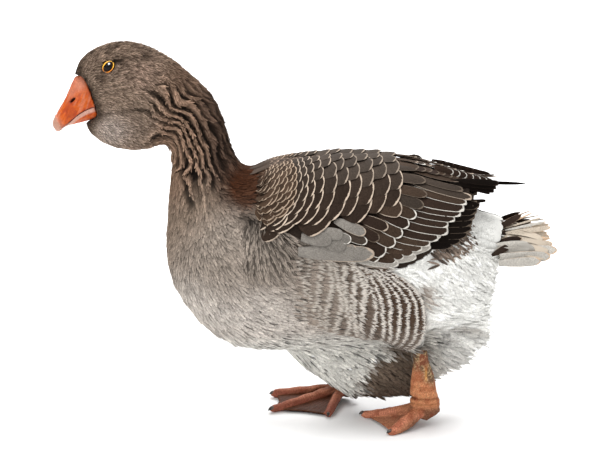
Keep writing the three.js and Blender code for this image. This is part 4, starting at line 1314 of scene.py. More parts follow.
# The flank's bars: rows of narrow feathers with ragged pale tips, upright in front and bowed round the thigh.
dice = np.random.default_rng(41)
FLANK_BARS = (-2, -13, -24, -35, -46, -57, -68, -79, -90, -101, -111, -121, -131, -141, -150)
for side_name, side in SIDES.items():
    x, z, row = [], [], []
    for n, bar in enumerate(FLANK_BARS):
        bent = float(ramp(np.array(-bar), 50, 150))
        top = 236 - 16 * bent
        for layer in (0, 1):
            for level in np.arange(top, np.interp(bar, *FLANK_LOW), -1.7):
                bow = bent * (40 * max(0, (level - 168) / 50) ** 2 + 14 * max(0, (138 - level) / 28) ** 2)
                wave = 3.5 * math.sin(level / 17 + n * 1.7) * (1 - bent)
                x.append(bar + bow + wave + dice.normal() * (1.5 - 1.0 * bent))
                z.append(level + dice.uniform(-1, 1))
                row.append(n)
    x, z, row = np.array(x), np.array(z), np.array(row)
    kept = (z < np.interp(x, *FLANK_TOP) + 5) & (dice.random(len(x)) < 0.25 + 0.75 * ramp(-x, 8, 42))
    x, z, row = x[kept], z[kept], row[kept]
    tips, kept = side_hits(x, z, side)
    x, z, row = x[kept], z[kept], row[kept]
    out = ground.below(tips)[1]
    fall = 0.10 + 0.35 * ramp(-x, 60, 150) * ramp(180 - z, 0, 60) - 0.1 * ramp(z, 190, 220)
    way = turned(lie(out, np.stack([-np.ones(len(x)), 0 * x, -fall], 1)), out,
                 0.12 * dice.normal(size=len(x)))
    long = dice.uniform(18, 24, len(x)) * MM
    points, out, maps = ground.below(tips - way * long[:, None])
    way = lie(out, tips - points)
    dark = ramp(-x + 14 * (lumps(tips, 30 * MM, 43) - 0.5), 20, 125) * (0.5 + 0.5 * ramp(z, 118, 150))
    tint = blended(repeated(FLANK_GREY, len(x)), FLANK_DARK, dark)
    tint = tint * dice.uniform(0.75, 1.3, (len(x), 1))
    fringe = blended(repeated(FLANK_TIP, len(x)), THIGH_TIP, dark)
    fringe = fringe * dice.uniform(0.8, 1.1, (len(x), 1))
    wide, rise = dice.uniform(2.3, 3.4, len(x)) * MM, 0.19 + 0.02 * dice.normal(size=len(x))
    for name, finish, part in (
            ("flank_bars_", flank_finish, row < 8), ("thigh_bars_", thigh_finish, row >= 8)):
        plumes_at(name + side_name, points[part], out[part], maps[part], way[part], long[part], wide[part],
                  rise[part], tint[part], fringe[part], finish, "body_plumage", follow=True, thick=0.14,
                  curl=0.02)

# ---- Large feathers -------------------------------------------------------------------------------
# The vaned feathers of the back, the wings and the tail: in the real bird a web of horn on both sides of a
# shaft. Each is a flat closed blade, thickest at the shaft, with a round, blunt or pointed tip.

VANE_LOOP = ((-1, 0), (-0.5, 0.8), (0, 1), (0.5, 0.8), (1, 0), (0.5, -0.2), (-0.5, -0.2))
VANE_STEPS = np.array([0, 0.25, 0.5, 0.7, 0.84, 0.93, 0.98, 1.0])
ROUND_TIP = np.array([0.6, 0.85, 1.0, 1.0, 0.93, 0.74, 0.46, 0.2])
BLUNT_TIP = np.array([0.7, 0.9, 1.0, 1.0, 0.98, 0.90, 0.74, 0.5])
LEAF_TIP = np.array([0.35, 0.8, 1.0, 0.95, 0.78, 0.5, 0.24, 0.06])
VANE_THICK = 0.45 * MM
BACK_LONG, BACK_WIDE = 32 * MM, 13 * MM
BACK_LIFT = np.array([0, 2.0, 3.8, 5.0, 5.6, 6.0, 6.2, 6.2]) * MM  # over the skin, at the steps
BACK_DARK = (0.052, 0.037, 0.028)


def lay_vanes(name, middle, outs, width, tint, fringe, finish, slot, lift, roll=0.0, bend=0.0,
              shape=ROUND_TIP, replaced=()):
    """Large feathers from their middle lines. lift is the height of each over its line, at the steps."""
    maps = ground.below(middle[:, 3])[2]
    count, steps = len(middle), VANE_STEPS
    piece = blades(name, middle, outs, width, steps, np.broadcast_to(shape, (count, len(steps))),
                   np.broadcast_to(lift, (count, len(steps))), np.full(count, VANE_THICK), VANE_LOOP, maps,
                   BAKE_PATCH, {"tint": tint, "fringe": fringe}, roll, bend)
    piece.data.materials.append(finish)
    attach(piece, "root")
    if replaced:
        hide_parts(*replaced)


# The middle of the back, between the wings: files of pale-rimmed brown feathers, over the rump in the end.
back_finish = feather_finish("back_feather", tip=0.045, edge=0.06, edge_from=0.6, root=1.3, fineness=30.0)
spots = [(x + 4 * (k % 2), 9 * k) for x in range(36, -236, -8) for k in range(-4, 5)
         if abs(9 * k) < wing_shell(x, 3) + 6]
tips = np.array([ground.tree.ray_cast(Vector((x * MM, y * MM, 0.45)), Vector((0, 0, -1)))[0]
                 for x, y in spots])
out = ground.below(tips)[1]
way = lie(out, repeated((-1.0, 0, 0), len(tips)))
middle = tips[:, None] - way[:, None] * (BACK_LONG * (1 - VANE_STEPS))[None, :, None]
flat, outs, _ = ground.below(middle.reshape(-1, 3))
middle, outs = flat.reshape(middle.shape), unit(outs.reshape(middle.shape) + out[:, None])
middle += outs * BACK_LIFT[None, :, None]
bridge = np.interp(middle[..., 0] / MM, WING_SHELL[:, 0], WING_SHELL[:, 4] - 2.5) * MM
high = ramp(-middle[..., 0] / MM, 100, 150)
middle[..., 2] = middle[..., 2] * (1 - high) + np.maximum(bridge, middle[..., 2]) * high
chord = np.linalg.norm(middle[:, -1] - middle[:, 0], axis=1)
straight = np.linalg.norm(np.diff(middle, axis=1), axis=2).sum(1) < 1.06 * chord
straight &= np.einsum("nk,nk->n", outs[:, 1], outs[:, -1]) > 0.88
middle, outs, tips = middle[straight], outs[straight], tips[straight]
tint = repeated(BACK_DARK, len(tips)) * dice.uniform(0.7, 1.3, (len(tips), 1))
lay_vanes("back_feathers", middle, outs, np.full(len(tips), BACK_WIDE), tint, 4.2 * tint, back_finish,
          "body_plumage", 0.0)

# ---- Wings ----------------------------------------------------------------------------------------
# The folded wings: scapulars and coverts in rows with pale fringes that show as crescents, grey coverts
# along the fore edge, and white-edged secondaries and tertials over the blackish primaries.

SEEN_PLANE = 110  # the upright plane that places of the side view are given on, from the middle plane
EYE_AWAY, EYE_HIGH, EYE_ALONG = 2400, 760, -2  # where the camera stands, in mm
WING_BEND = 4.5  # how much the large feathers bend round the wing, one over twice the radius in metres


def wing_surface(x, w, side):
    """Points of the folded wing's outside: x in mm, and w from the lower edge (0) to the upper (1)."""
    low_y, low_z, top_y, top_z = (wing_shell(x, n) for n in (1, 2, 3, 4))
    y = top_y + (low_y - top_y) * np.cos(np.clip(w, 0, 1) * math.pi / 2) ** 1.1 - 60 * np.clip(w - 1, 0, 1)
    z = low_z + (top_z - low_z) * np.sin(np.clip(w, 0, 1) * math.pi / 2) + 90 * np.clip(w, -1, 0)
    if side < 0:
        x = x - 30 * ramp(-x, 200, 252)
    return np.stack([x, side * y, z], -1) * MM


def wing_outs(x, w, side):
    """The ways out of the folded wing's outside."""
    along = wing_surface(x - 6, w, 1) - wing_surface(x + 6, w, 1)
    up = wing_surface(x, np.clip(w + 0.04, 0.02, 1), 1) - wing_surface(x, np.clip(w - 0.04, 0, 0.98), 1)
    return unit(np.cross(along, up)) * (1, side, 1)


def seen(x, w):
    """Where points of the left wing's outside are seen from the side: x and z on one upright plane."""
    p = wing_surface(x, w, 1) / MM
    share = (EYE_AWAY - SEEN_PLANE) / (EYE_AWAY - p[..., 1])
    return EYE_ALONG + (p[..., 0] - EYE_ALONG) * share, EYE_HIGH + (p[..., 2] - EYE_HIGH) * share


def wing_place(seen_x, seen_z):
    """The x and w of the wing's point that is seen at a place."""
    x, grid = float(seen_x), np.linspace(-0.4, 1, 141)
    for _ in range(3):
        w = float(np.interp(seen_z, seen(np.full(141, x), grid)[1], grid))
        x += float(seen_x) - float(seen(np.array(x), np.array(w))[0])
    return x, w


def wing_vanes(name, x, w, width, tint, fringe, finish, lift, side, slot="wing_plumage", roll=0.05, **more):
    """Large feathers that lie on the wing, with their middle lines given as x and w at the steps. In front,
    their roots go down to the skin."""
    outs, middle = wing_outs(x, w, side), wing_surface(x, w, side)
    down = ramp(x, 40, 62)[..., None]
    middle += (ground.below(middle.reshape(-1, 3))[0].reshape(middle.shape) - middle) * down
    lay_vanes(name, middle, outs, np.asarray(width) * MM, np.array(tint), np.array(fringe),
              finish, slot, np.asarray(lift) * MM, roll=roll * side, bend=WING_BEND, **more)


def stepped(roots, tips):
    """The steps from roots to tips, given as x and w."""
    roots, tips = np.array(roots, float)[:, :, None], np.array(tips, float)[:, :, None]
    return np.moveaxis(roots + (tips - roots) * VANE_STEPS, 1, 0)


SCAPULAR_BULGES = (2, -6, -15, -27, -42, -57, -73, -90, -107, -124)
SHOULDER_BULGES = (52, 46.5, 41, 35.5, 30, 24.5, 19, 13.5, 8)
ROW_BOW = ((256, 262, 270, 280, 295, 310, 325, 350, 366), (50, 42, 30, 20, 10, 4, 0, 2, 10))  # by seen z
ROW_DROOP = ((262, 280, 295, 310, 325, 350), (50, 38, 26, 14, 6, 2))
ROW_ENDS = ((-124, -107, -87, -70, -54, -37, -23, -10, 0, 35),
            (306, 292, 283, 276, 268, 267, 260, 257, 264, 280))
SCAPULAR_SINK = (-7, -4.6, -2.6, -1.2, -0.5, -0.2, -0.05, 0.0)  # height over the wing, at the steps
SHOULDER_SINK = (-4.0, -2.4, -1.0, -0.3, 0.1, 0.3, 0.4, 0.4)
SCAPULAR_BROWN, SCAPULAR_SMOOTH = (0.021, 0.013, 0.009), (0.042, 0.032, 0.025)
SHOULDER_BROWN = (0.042, 0.026, 0.017)
SCAPULAR_RIM, SMOOTH_RIM, SHOULDER_RIM = (0.46, 0.37, 0.29), (0.15, 0.12, 0.096), (0.32, 0.24, 0.175)

scapular_finish = feather_finish("scapular", tip=0.036, edge=0.04, edge_from=0.80, root=1.7, barbs=0.35,
                                 fineness=36.0)
shoulder_finish = feather_finish("shoulder_feather", tip=0.058, edge=0.06, edge_from=0.6, root=1.2, barbs=0.3,
                                 fineness=24.0)


def feather_rows(bulges, gap_of, droop_of, length_of):
    """Rows of feathers down the wing, one for each bulge: the tips and the roots as x and w, and the gaps."""
    tips, roots, gaps = [], [], []
    for row, bulge in enumerate(bulges):
        w, end = 1.02 - 0.06 * (row % 2) + dice.uniform(-0.01, 0.01), np.interp(bulge, *ROW_ENDS)
        while True:
            x = bulge + np.interp(seen(np.array(bulge), np.array(w))[1], *ROW_BOW)
            high = float(seen(np.array(x), np.array(w))[1])
            if high < end or w < 0 or x > 54:
                break
            arc = 1.15 * math.hypot(wing_shell(x, 1) - wing_shell(x, 3), wing_shell(x, 4) - wing_shell(x, 2))
            droop = math.radians(droop_of(high, bulge))
            long, gap = length_of(bulge) * dice.uniform(0.92, 1.08), gap_of(bulge) * dice.uniform(0.93, 1.07)
            x += dice.uniform(-1.5, 1.5) * gap / 20
            tips.append((x, w))
            roots.append((x + long * math.cos(droop), w + long * math.sin(droop) / arc))
            gaps.append(gap)
            w -= gap / arc
    return np.array(tips), np.array(roots), np.array(gaps)


for side_name, side in SIDES.items():
    tips, roots, gaps = feather_rows(
        SCAPULAR_BULGES, lambda b: np.interp(b, (-60, 2), (29, 19)),
        lambda high, b: np.interp(high, *ROW_DROOP), lambda b: np.interp(b, (-60, 2), (38, 26)))
    high, count = seen(*tips.T)[1], len(tips)
    smooth = ramp(high, 322, 350) * (0.5 + 0.5 * ramp(-tips[:, 0], 0, 60))
    brown = blended(repeated(SCAPULAR_BROWN, count), SCAPULAR_SMOOTH, 0.15 + 0.85 * smooth)
    pale = blended(repeated(SCAPULAR_RIM, count), SMOOTH_RIM, 0.75 * smooth)
    wing_vanes("scapulars_" + side_name, *stepped(roots, tips), gaps * 1.5,
               brown * dice.uniform(0.8, 1.2, (count, 1)), pale * dice.uniform(0.85, 1.12, (count, 1)),
               scapular_finish, SCAPULAR_SINK, side)

    tips, roots, gaps = feather_rows(
        SHOULDER_BULGES, lambda b: 15.0,
        lambda high, b: np.interp(high, *ROW_DROOP) + 6, lambda b: np.interp(b, (35, 52), (22, 13)))
    count = len(tips)
    wing_vanes("shoulder_feathers_" + side_name, *stepped(roots, tips), 21 * dice.uniform(0.85, 1.15, count),
               repeated(SHOULDER_BROWN, count) * dice.uniform(0.7, 1.3, (count, 1)),
               repeated(SHOULDER_RIM, count) * dice.uniform(0.8, 1.15, (count, 1)),
               shoulder_finish, SHOULDER_SINK, side)

# Feathers placed one by one, from the tips forward to the fore edge: root and tip as seen from the side,
# width, colour, fringe, and height over the wing.
BROWN, DARK, BLACK = (0.040, 0.026, 0.018), (0.024, 0.015, 0.011), (0.006, 0.004, 0.003)
GREY, GREY_BROWN = (0.162, 0.148, 0.131), (0.036, 0.027, 0.021)
WHITE, CREAM, DULL, UNDER = (0.56, 0.53, 0.48), (0.36, 0.29, 0.23), (0.11, 0.085, 0.065), (0.30, 0.28, 0.25)
PRIMARIES = (
    (-120, 250, -186, 250, 10, BLACK, DULL, -4.5),
    (-125, 256, -196, 256, 11, BLACK, DULL, -4.4),
    (-130, 265, -205, 264, 13, BLACK, DULL, -4.2),
    (-130, 273, -210, 272, 13, BLACK, DULL, -4.0),
    (-140, 282, -211, 280, 13, BLACK, DULL, -3.8),
    (-142, 290, -214, 288, 13, BLACK, DULL, -3.6),
    (-148, 298, -216, 295, 13, BLACK, DULL, -3.4),
    (-152, 306, -219, 302, 12, BLACK, DULL, -3.2),
    (-165, 314, -226, 307, 5, BLACK, DARK, -2.8),
)
SECONDARIES = (
    # pale under edge
    (-60, 234, -118, 228, 10, UNDER, WHITE, -3.2),
    (-84, 233, -140, 237, 10, UNDER, WHITE, -3.1),
    (-100, 237, -158, 250, 9, UNDER, WHITE, -3.0),
    (-112, 247, -170, 264, 8, UNDER, WHITE, -2.9),
    # from the lowest up
    (-80, 238, -114, 232, 8, BROWN, WHITE, -2.5),
    (-84, 245, -124, 237, 9, BROWN, WHITE, -2.3),
    (-88, 252, -136, 242, 10, BROWN, WHITE, -2.1),
    (-92, 260, -147, 248, 11, BROWN, WHITE, -1.9),
    (-96, 268, -157, 254, 11, BROWN, WHITE, -1.7),
    (-102, 276, -167, 261, 12, DARK, WHITE, -1.5),
    (-106, 286, -179, 270, 15, DARK, WHITE, -1.3),
    (-112, 294, -179, 278, 11, DARK, WHITE, -1.2),
    (-116, 301, -187, 285, 11, DARK, WHITE, -1.1),
    (-118, 308, -194, 292, 12, DARK, WHITE, -1.0),
    (-120, 317, -198, 300, 17, DARK, WHITE, -0.9),
    (-122, 330, -201, 306, 13, BROWN, WHITE, -0.7),
    (-122, 340, -207, 312, 14, GREY_BROWN, CREAM, -0.5),
    (-120, 348, -196, 322, 14, GREY_BROWN, DULL, -0.4),
    (-120, 355, -190, 333, 12, BROWN, DULL, -0.2),
)
COVERTS = (
    # greater
    (-66, 252, -94, 235, 20, BROWN, WHITE, -0.9),
    (-62, 264, -101, 241, 22, DARK, WHITE, -0.7),
    (-72, 276, -113, 252, 18, BROWN, WHITE, -0.6),
    (-82, 286, -122, 264, 17, BROWN, WHITE, -0.5),
    (-90, 297, -130, 276, 17, DARK, WHITE, -0.4),
    (-94, 308, -139, 288, 17, BROWN, WHITE, -0.3),
    (-98, 319, -148, 301, 17, GREY_BROWN, DULL, -0.2),
    (-98, 330, -152, 315, 16, BROWN, DULL, -0.1),
    (-98, 343, -150, 333, 18, GREY_BROWN, DULL, 0.0),
    (-96, 354, -140, 348, 14, GREY_BROWN, DULL, 0.1),
    # middle
    (-58, 278, -93, 258, 14, DARK, DULL, -0.2),
    (-64, 290, -104, 273, 15, DARK, CREAM, -0.1),
    (-84, 306, -121, 296, 26, BROWN, CREAM, 0.1),
    # grey, along the fore edge
    (-26, 248, -66, 244, 16, GREY, CREAM, -0.2),
    (-8, 256, -52, 251, 18, GREY, GREY, 0.0),
    (4, 262, -34, 258, 18, GREY, GREY, 0.1),
    (-16, 270, -48, 264, 15, GREY, GREY, 0.2),
    (-28, 268, -58, 257, 13, GREY, WHITE, 0.3),
    (-42, 268, -78, 255, 12, GREY_BROWN, WHITE, 0.4),
    (-38, 284, -76, 266, 14, GREY, CREAM, 0.5),
    (8, 242, -87, 240, 20, GREY, CREAM, 0.6),
)
FEATHER_SINK = (-4.0, -2.6, -1.5, -0.8, -0.3, -0.1, 0, 0)  # lift over the wing from root to tip
PRIMARY_TIP = np.array([0.1, 0.55, 0.95, 1, 1, 0.97, 0.9, 0.72])
RIGHT_LOWER = 13  # mm that the right wing's long primaries lie lower than the left's
RIDGE_COUNT, EDGE_COUNT, LOOSE_COUNT = 7, 11, 95
LOOSE_BROWN = (0.13, 0.10, 0.08)

quill_finish = feather_finish("flight_feather", tip=0.022, edge=0.12, edge_from=0.05, root=1.2, barbs=0.3,
                              fineness=50.0)
covert_finish = feather_finish("covert", tip=0.035, edge=0.09, edge_from=0.3, root=1.2, barbs=0.35,
                               fineness=40.0)
dark_finish = feather_finish("primary", tip=0.012, edge=0.07, edge_from=0.2, root=1.1, barbs=0.3,
                             fineness=50.0)


def placed_vanes(name, rows, sag, finish, side, **more):
    """Feathers from a table, each a line of the side view that sags by some mm in its middle."""
    x, w = np.empty((2, len(rows), len(VANE_STEPS)))
    for n, (root_x, root_z, tip_x, tip_z) in enumerate(row[:4] for row in rows):
        for k, s in enumerate(VANE_STEPS):
            dip = 4 * sag * s * (1 - s)
            x[n, k], w[n, k] = wing_place(root_x + (tip_x - root_x) * s, root_z + (tip_z - root_z) * s - dip)
    wing_vanes(name, x, w, [row[4] for row in rows],
               [np.array(row[5]) * dice.uniform(0.85, 1.15) for row in rows], [row[6] for row in rows],
               finish,
               [[row[7] + sink for sink in FEATHER_SINK] for row in rows], side, **more)


def seen_point(seen_x, seen_z, y):
    """The point at a distance y from the middle plane that is seen at a place of the side view, in mm."""
    share = (EYE_AWAY - y) / (EYE_AWAY - SEEN_PLANE)
    return np.array([EYE_ALONG + (seen_x - EYE_ALONG) * share, y, EYE_HIGH + (seen_z - EYE_HIGH) * share])


VIEW_TILT = 11.99  # degrees that the camera looks down
VIEW_SIZE = (612, 455)  # units of its view, across and down
VIEW_LENS = 1888  # its focal length in the same units


def view_place(right, down):
    """The place of the side view, in whole mm, that the camera sees so far right and down in its view."""
    tilt, away = math.radians(VIEW_TILT), EYE_AWAY - SEEN_PLANE
    z = EYE_HIGH - away * math.tan(tilt + math.atan((down - VIEW_SIZE[1] / 2) / VIEW_LENS))
    depth = away * math.cos(tilt) + (EYE_HIGH - z) * math.sin(tilt)
    return round(EYE_ALONG - (right - VIEW_SIZE[0] / 2) / VIEW_LENS * depth), round(z)


def free_vanes(name, rows, finish, slot, sides, **more):
    """Feathers that stand free of the wing: root and tip as points, lean of the face from upwards (0) to
    sideways (90), width, colour and fringe."""
    middle, outs, width, tint, fringe = [], [], [], [], []
    for side in sides:
        for root, tip, lean, wide, colour, rim in rows:
            root, tip = np.array(root) * (1, side, 1), np.array(tip) * (1, side, 1)
            face = np.array([0, side * math.sin(math.radians(lean)), math.cos(math.radians(lean))])
            middle.append(root + (tip - root) * VANE_STEPS[:, None])
            outs.append(repeated(face, len(VANE_STEPS)))
            width.append(wide)
            tint.append(np.array(colour) * dice.uniform(0.9, 1.1))
            fringe.append(rim)
    lay_vanes(name, np.array(middle) * MM, np.array(outs), np.array(width) * MM, np.array(tint),
              np.array(fringe), finish, slot, 0.0, **more)


for side_name, side in SIDES.items():
    placed_vanes("primary_tips_" + side_name, PRIMARIES, 0, dark_finish, side, shape=BLUNT_TIP,
                 slot="flight_quills")
    placed_vanes("secondaries_" + side_name, SECONDARIES, 3, quill_finish, side, roll=0.09, shape=BLUNT_TIP)
    placed_vanes("coverts_" + side_name, COVERTS, 0.5, covert_finish, side, roll=0.06)

    # the long primaries past the tertials, standing on edge, and the thin ones that cross them
    down = 0 if side > 0 else RIGHT_LOWER
    long_ones = [(seen_point(-180, 334 - 4 * n, 56 - 4 * n) - (0, 0, down),
                  seen_point(-239 + 2.5 * n, 329.5 - 4.4 * n, 30 - 2 * n) - (0, 0, down),
                  62, 8, BLACK, DARK) for n in range(3)]
    long_ones.append((seen_point(-196, 337, 24), seen_point(-234, 340, 20) - (0, 0, down), 50, 2.6,
                      GREY_BROWN, DULL))
    if side < 0:
        free_vanes("primary_spike", [((-205, 24, 306), (-289, 20, 304.5), 66, 5.5, BLACK, BLACK)],
                   dark_finish, "flight_quills", (side,), shape=LEAF_TIP)
    free_vanes("primaries_%s_vanes" % side_name, long_ones, dark_finish, "flight_quills", (side,),
               replaced=("primaries_" + side_name,), shape=PRIMARY_TIP)

    # ragged scapulars along the upper edge
    ridge = [(seen_point(-160 - 8.4 * n, 349 - 2.15 * n, 26),
              seen_point(-184 - 8.4 * n, 342.5 - 2.15 * n, 27),
              72, 8.5, DARK, WHITE) for n in range(RIDGE_COUNT)]
    free_vanes("wing_ridge_" + side_name, ridge, shoulder_finish, "wing_plumage", (side,))
    for row, (level, wide) in enumerate(((0.84, 17), (0.95, 13))):
        tips = [(-146 - 8.6 * n, level - 0.03 * (n % 2)) for n in range(EDGE_COUNT)]
        roots = [(-112 - 8.6 * n, level + 0.04) for n in range(EDGE_COUNT)]
        lift = [[0.2 + row + 0.5 * (n % 2) + sink for sink in FEATHER_SINK] for n in range(EDGE_COUNT)]
        wing_vanes("scapular_edge_%s_%d" % (side_name, row + 1), *stepped(roots, tips),
                   [wide - 0.5 * n for n in range(EDGE_COUNT)],
                   [(BROWN, DARK)[n % 2] for n in range(EDGE_COUNT)],
                   [(CREAM, WHITE)[n % 2] if row else DULL for n in range(EDGE_COUNT)],
                   shoulder_finish, lift, side)

# Loose brown tips that hang over the white below the primaries.
tip_x = -168 - 54 * dice.random(LOOSE_COUNT)
tip_z = 230 + 0.5 * np.maximum(-tip_x - 190, 0) + dice.uniform(-9, 13, LOOSE_COUNT)
for side_name, side in SIDES.items():
    tips, kept = side_hits(tip_x, tip_z, side)
    out = ground.below(tips)[1]
    way = lie(out, repeated((-0.75, 0, -0.5), len(tips)) + 0.25 * dice.normal(size=(len(tips), 3)))
    middle = tips[:, None] - way[:, None] * (17 * MM * (1 - VANE_STEPS))[None, :, None]
    brown = repeated(LOOSE_BROWN, len(tips)) * dice.uniform(0.3, 1.9, (len(tips), 1))
    lay_vanes("loose_tips_" + side_name, middle, np.repeat(out[:, None], len(VANE_STEPS), 1),
              dice.uniform(2.5, 4.5, len(tips)) * MM, brown, 1.3 * brown, body_finish, "wing_plumage",
              np.linspace(1.0, 2.6, len(VANE_STEPS)) * MM, shape=LEAF_TIP)

# ---- Tail -----------------------------------------------------------------------------------------
# A short fan, roofed down at both sides: dark and cream quills in the middle and white ones at the sides.
# White coverts hood its roots, and leaf-shaped dark feathers and loose cream ones lie on it.

TAIL_TIPS = (-300, -306, -312, -314, -303)  # x of the quill tips from the ridge to the side
FAN_ROOT, FAN_LONG = -246, 66  # x of the fan's root, and its length, in mm
FAN_HALF, FAN_SPREAD = 44, 16  # half its width at the root, and how much more it is at the tips
FAN_TOP, FAN_ROOF, FAN_FALL = 258.5, 34, 13  # its ridge, the drop to its sides, the fall to its tips
HOOD_TIPS = (-219, -229, -239, -248, -256)  # x of the tips in each row of the hood
HOOD_COUNT, UNDERTAIL_COUNT = 19, 15
QUILL_DARK, QUILL_CREAM, QUILL_WHITE = (0.026, 0.017, 0.013), (0.45, 0.385, 0.31), (0.43, 0.405, 0.365)
QUILL_PEACH, SPOT_GREY, RUMP_WHITE = (0.50, 0.36, 0.25), (0.24, 0.215, 0.19), (0.66, 0.655, 0.625)


def fan_half(out):
    """Half the width of the fan, at a share of its length."""
    return FAN_HALF + FAN_SPREAD * out**0.7


def fan_top(share, out):
    """The height of its top, at shares of its half width and its length."""
    return FAN_TOP - (FAN_ROOF - 5 * out) * share**1.7 - FAN_FALL * np.clip(out, 0, 1.2) ** 3


def tail_surface(side, out):
    """Points of the top of the fan: side from -1 to 1, and out from the root (0) to the tips (1)."""
    reach = smooth_through(np.array(TAIL_TIPS, float)[:, None], np.abs(side).ravel() * 4).reshape(side.shape)
    x = FAN_ROOT + (reach - FAN_ROOT) * out
    y = side * fan_half(np.clip(out, 0, 1))
    return np.stack([x, y, fan_top(np.abs(side), out)], -1) * MM


# The hood: rows of white coverts round the rump, each row under the one before it.
covert_white = feather_finish("rump_covert", tip=0.3, edge=0.12, root=1.0, barbs=0.1, fineness=40.0)
tips, outs, tint, lift = [], [], [], []
for row, tip_x in enumerate(HOOD_TIPS):
    for n in range(HOOD_COUNT):
        a = math.radians(-108 + 12 * n + 6 * (row % 2) + dice.uniform(-1.5, 1.5))
        round_up = 39 if math.cos(a) > 0 else 20
        tips.append((tip_x + 9 * abs(math.sin(a)) ** 3 + dice.uniform(-1.5, 1.5),
                     (50 - 1.2 * row) * math.sin(a), 225 + round_up * math.cos(a)))
        outs.append((-0.05, math.sin(a), math.cos(a)))
        spotted = row < 3 and 0.15 < abs(math.sin(a)) < 0.75 and math.cos(a) > 0 and dice.random() < 0.3
        tint.append(np.array(SPOT_GREY if spotted else RUMP_WHITE) * dice.uniform(0.95, 1.05))
        lift.append((1.5 - 0.45 * row + dice.uniform(-0.2, 0.2)) * VANE_STEPS * MM)
tips, outs, tint = np.array(tips) * MM, unit(np.array(outs)), np.array(tint)
roots = ground.below(tips * (1, 0.95, 1) + (0.036, 0, 0))[0]
middle = roots[:, None] + (tips - roots)[:, None] * VANE_STEPS[:, None]
middle += outs[:, None] * (3 * MM * np.sin(math.pi * VANE_STEPS))[:, None]
lay_vanes("rump_coverts", middle, np.repeat(outs[:, None], len(VANE_STEPS), 1), np.full(len(tips), 15 * MM),
          tint, repeated(RUMP_WHITE, len(tips)), covert_white, "white_plumage", np.array(lift))

TAIL_QUILLS = (  # place across the fan, reach of the tip, width, colour; the lowest first
    (0.98, 0.94, 20, QUILL_WHITE), (0.86, 1.0, 19, QUILL_WHITE), (0.72, 0.98, 17, QUILL_WHITE),
    (0.56, 0.98, 16, QUILL_CREAM), (0.40, 0.97, 16, QUILL_CREAM), (0.22, 0.95, 16, QUILL_DARK),
    (0.0, 0.93, 17, QUILL_DARK),
)
tail_finish = feather_finish("tail_quill", tip=0.42, edge=0.16, edge_from=0.05, root=0.95, barbs=0.15,
                             fineness=50.0)
leaf_finish = feather_finish("tail_leaf", tip=0.02, edge=0.05, edge_from=0.1, root=1.0, barbs=0.3,
                             fineness=40.0)
across, reach, width, tint, lift = [], [], [], [], []
for n, (place_across, tip_out, wide, colour) in enumerate(TAIL_QUILLS):
    for side in (1, -1) if place_across else (1,):
        across.append(place_across * side)
        reach.append(tip_out)
        width.append(wide * MM)
        tint.append(np.array(colour) * dice.uniform(0.84, 1.06))
        lift.append([(-3.2 + 0.32 * n + 0.6 * s) * MM for s in VANE_STEPS])
out = -0.02 + (np.array(reach)[:, None] + 0.02) * VANE_STEPS
side = np.broadcast_to(np.array(across)[:, None], out.shape)
middle = tail_surface(side, out)
outs = unit(np.stack([0.10 + 0 * side, 0.8 * side, 1 + 0 * side], -1))
tint = np.array(tint)
pale = repeated(QUILL_CREAM, len(tint)) * dice.uniform(0.84, 1.06, (len(tint), 1))
lay_vanes("tail_vanes", middle, outs, np.array(width), tint, pale, tail_finish, "tail_plumage",
          np.array(lift), roll=0.03 * np.sign(np.array(across)), replaced=("tail",))

# Long white coverts under the fan, from side to side.
tips, outs = [], []
for n in range(UNDERTAIL_COUNT):
    a = math.radians(82 + 14 * n)
    tips.append((-288 - 6 * (n % 2), 47 * math.sin(a), 233 + 14 * math.cos(a)))
    outs.append((0, math.sin(a), math.cos(a)))
tips, outs = np.array(tips) * MM, np.array(outs)
roots = ground.below(tips * (1, 0.9, 1) + (0.052, 0, -0.004))[0]
middle = roots[:, None] + (tips - roots)[:, None] * VANE_STEPS[:, None]
white = repeated(QUILL_WHITE, len(tips)) * dice.uniform(0.95, 1.15, (len(tips), 1))
lay_vanes("undertail_coverts", middle, np.repeat(outs[:, None], len(VANE_STEPS), 1),
          np.full(len(tips), 17 * MM), white, white, covert_white, "white_plumage", 0.0)


def over_fan(seen_x, seen_z, lift):
    """The point over the fan that is seen at a place: on its top, or beside or above it where that is not."""
    for y in range(8, 62):
        point = seen_point(seen_x, seen_z, y)
        out = float(np.clip((FAN_ROOT - point[0]) / FAN_LONG, 0, 1.1))
        if point[2] >= fan_top(min(1.0, y / fan_half(out)), out) + lift:
            break
    return point


SIDE_VANES = (  # root and tip, right and down in the camera's view; the root's shift in mm, ahead and up;
    # width, colour, height over the fan; the lowest first
    (499, 263, 541, 261, 0, 0, 12, QUILL_WHITE, 0), (500, 257, 550, 256, 0, 0, 14, QUILL_WHITE, 0),
    (501, 251, 557, 250, 0, 0, 14, QUILL_WHITE, 0.6), (506, 246, 552, 244, 5, 0, 11, QUILL_CREAM, 0.8),
    (510, 241, 550, 238, 9, -1, 6, QUILL_PEACH, 1.2), (508, 236, 547, 233, 5, -1, 6, QUILL_CREAM, 1.4),
    (510, 233, 550, 227, 5, -1, 8, QUILL_CREAM, 1.6), (505, 230, 546, 222, 0, 0, 4, QUILL_WHITE, 2.0),
    (504, 228, 541, 218, 0, 0, 2.6, QUILL_CREAM, 2.2), (504, 226, 532, 213, 0, 0, 2.4, QUILL_PEACH, 2.4),
)
LEAF_RIM = (0.30, 0.22, 0.16)
LEAVES = (  # root and tip as seen from the side, width, colour, height over the fan; the lowest first
    (-233, 238, -258, 252, 9, QUILL_DARK, 3.0), (-234, 252, -270, 260, 11, QUILL_DARK, 3.4),
    (-236, 261, -281, 281, 9, QUILL_DARK, 4.6), (-236, 270, -269, 290, 9, QUILL_DARK, 6.0),
)


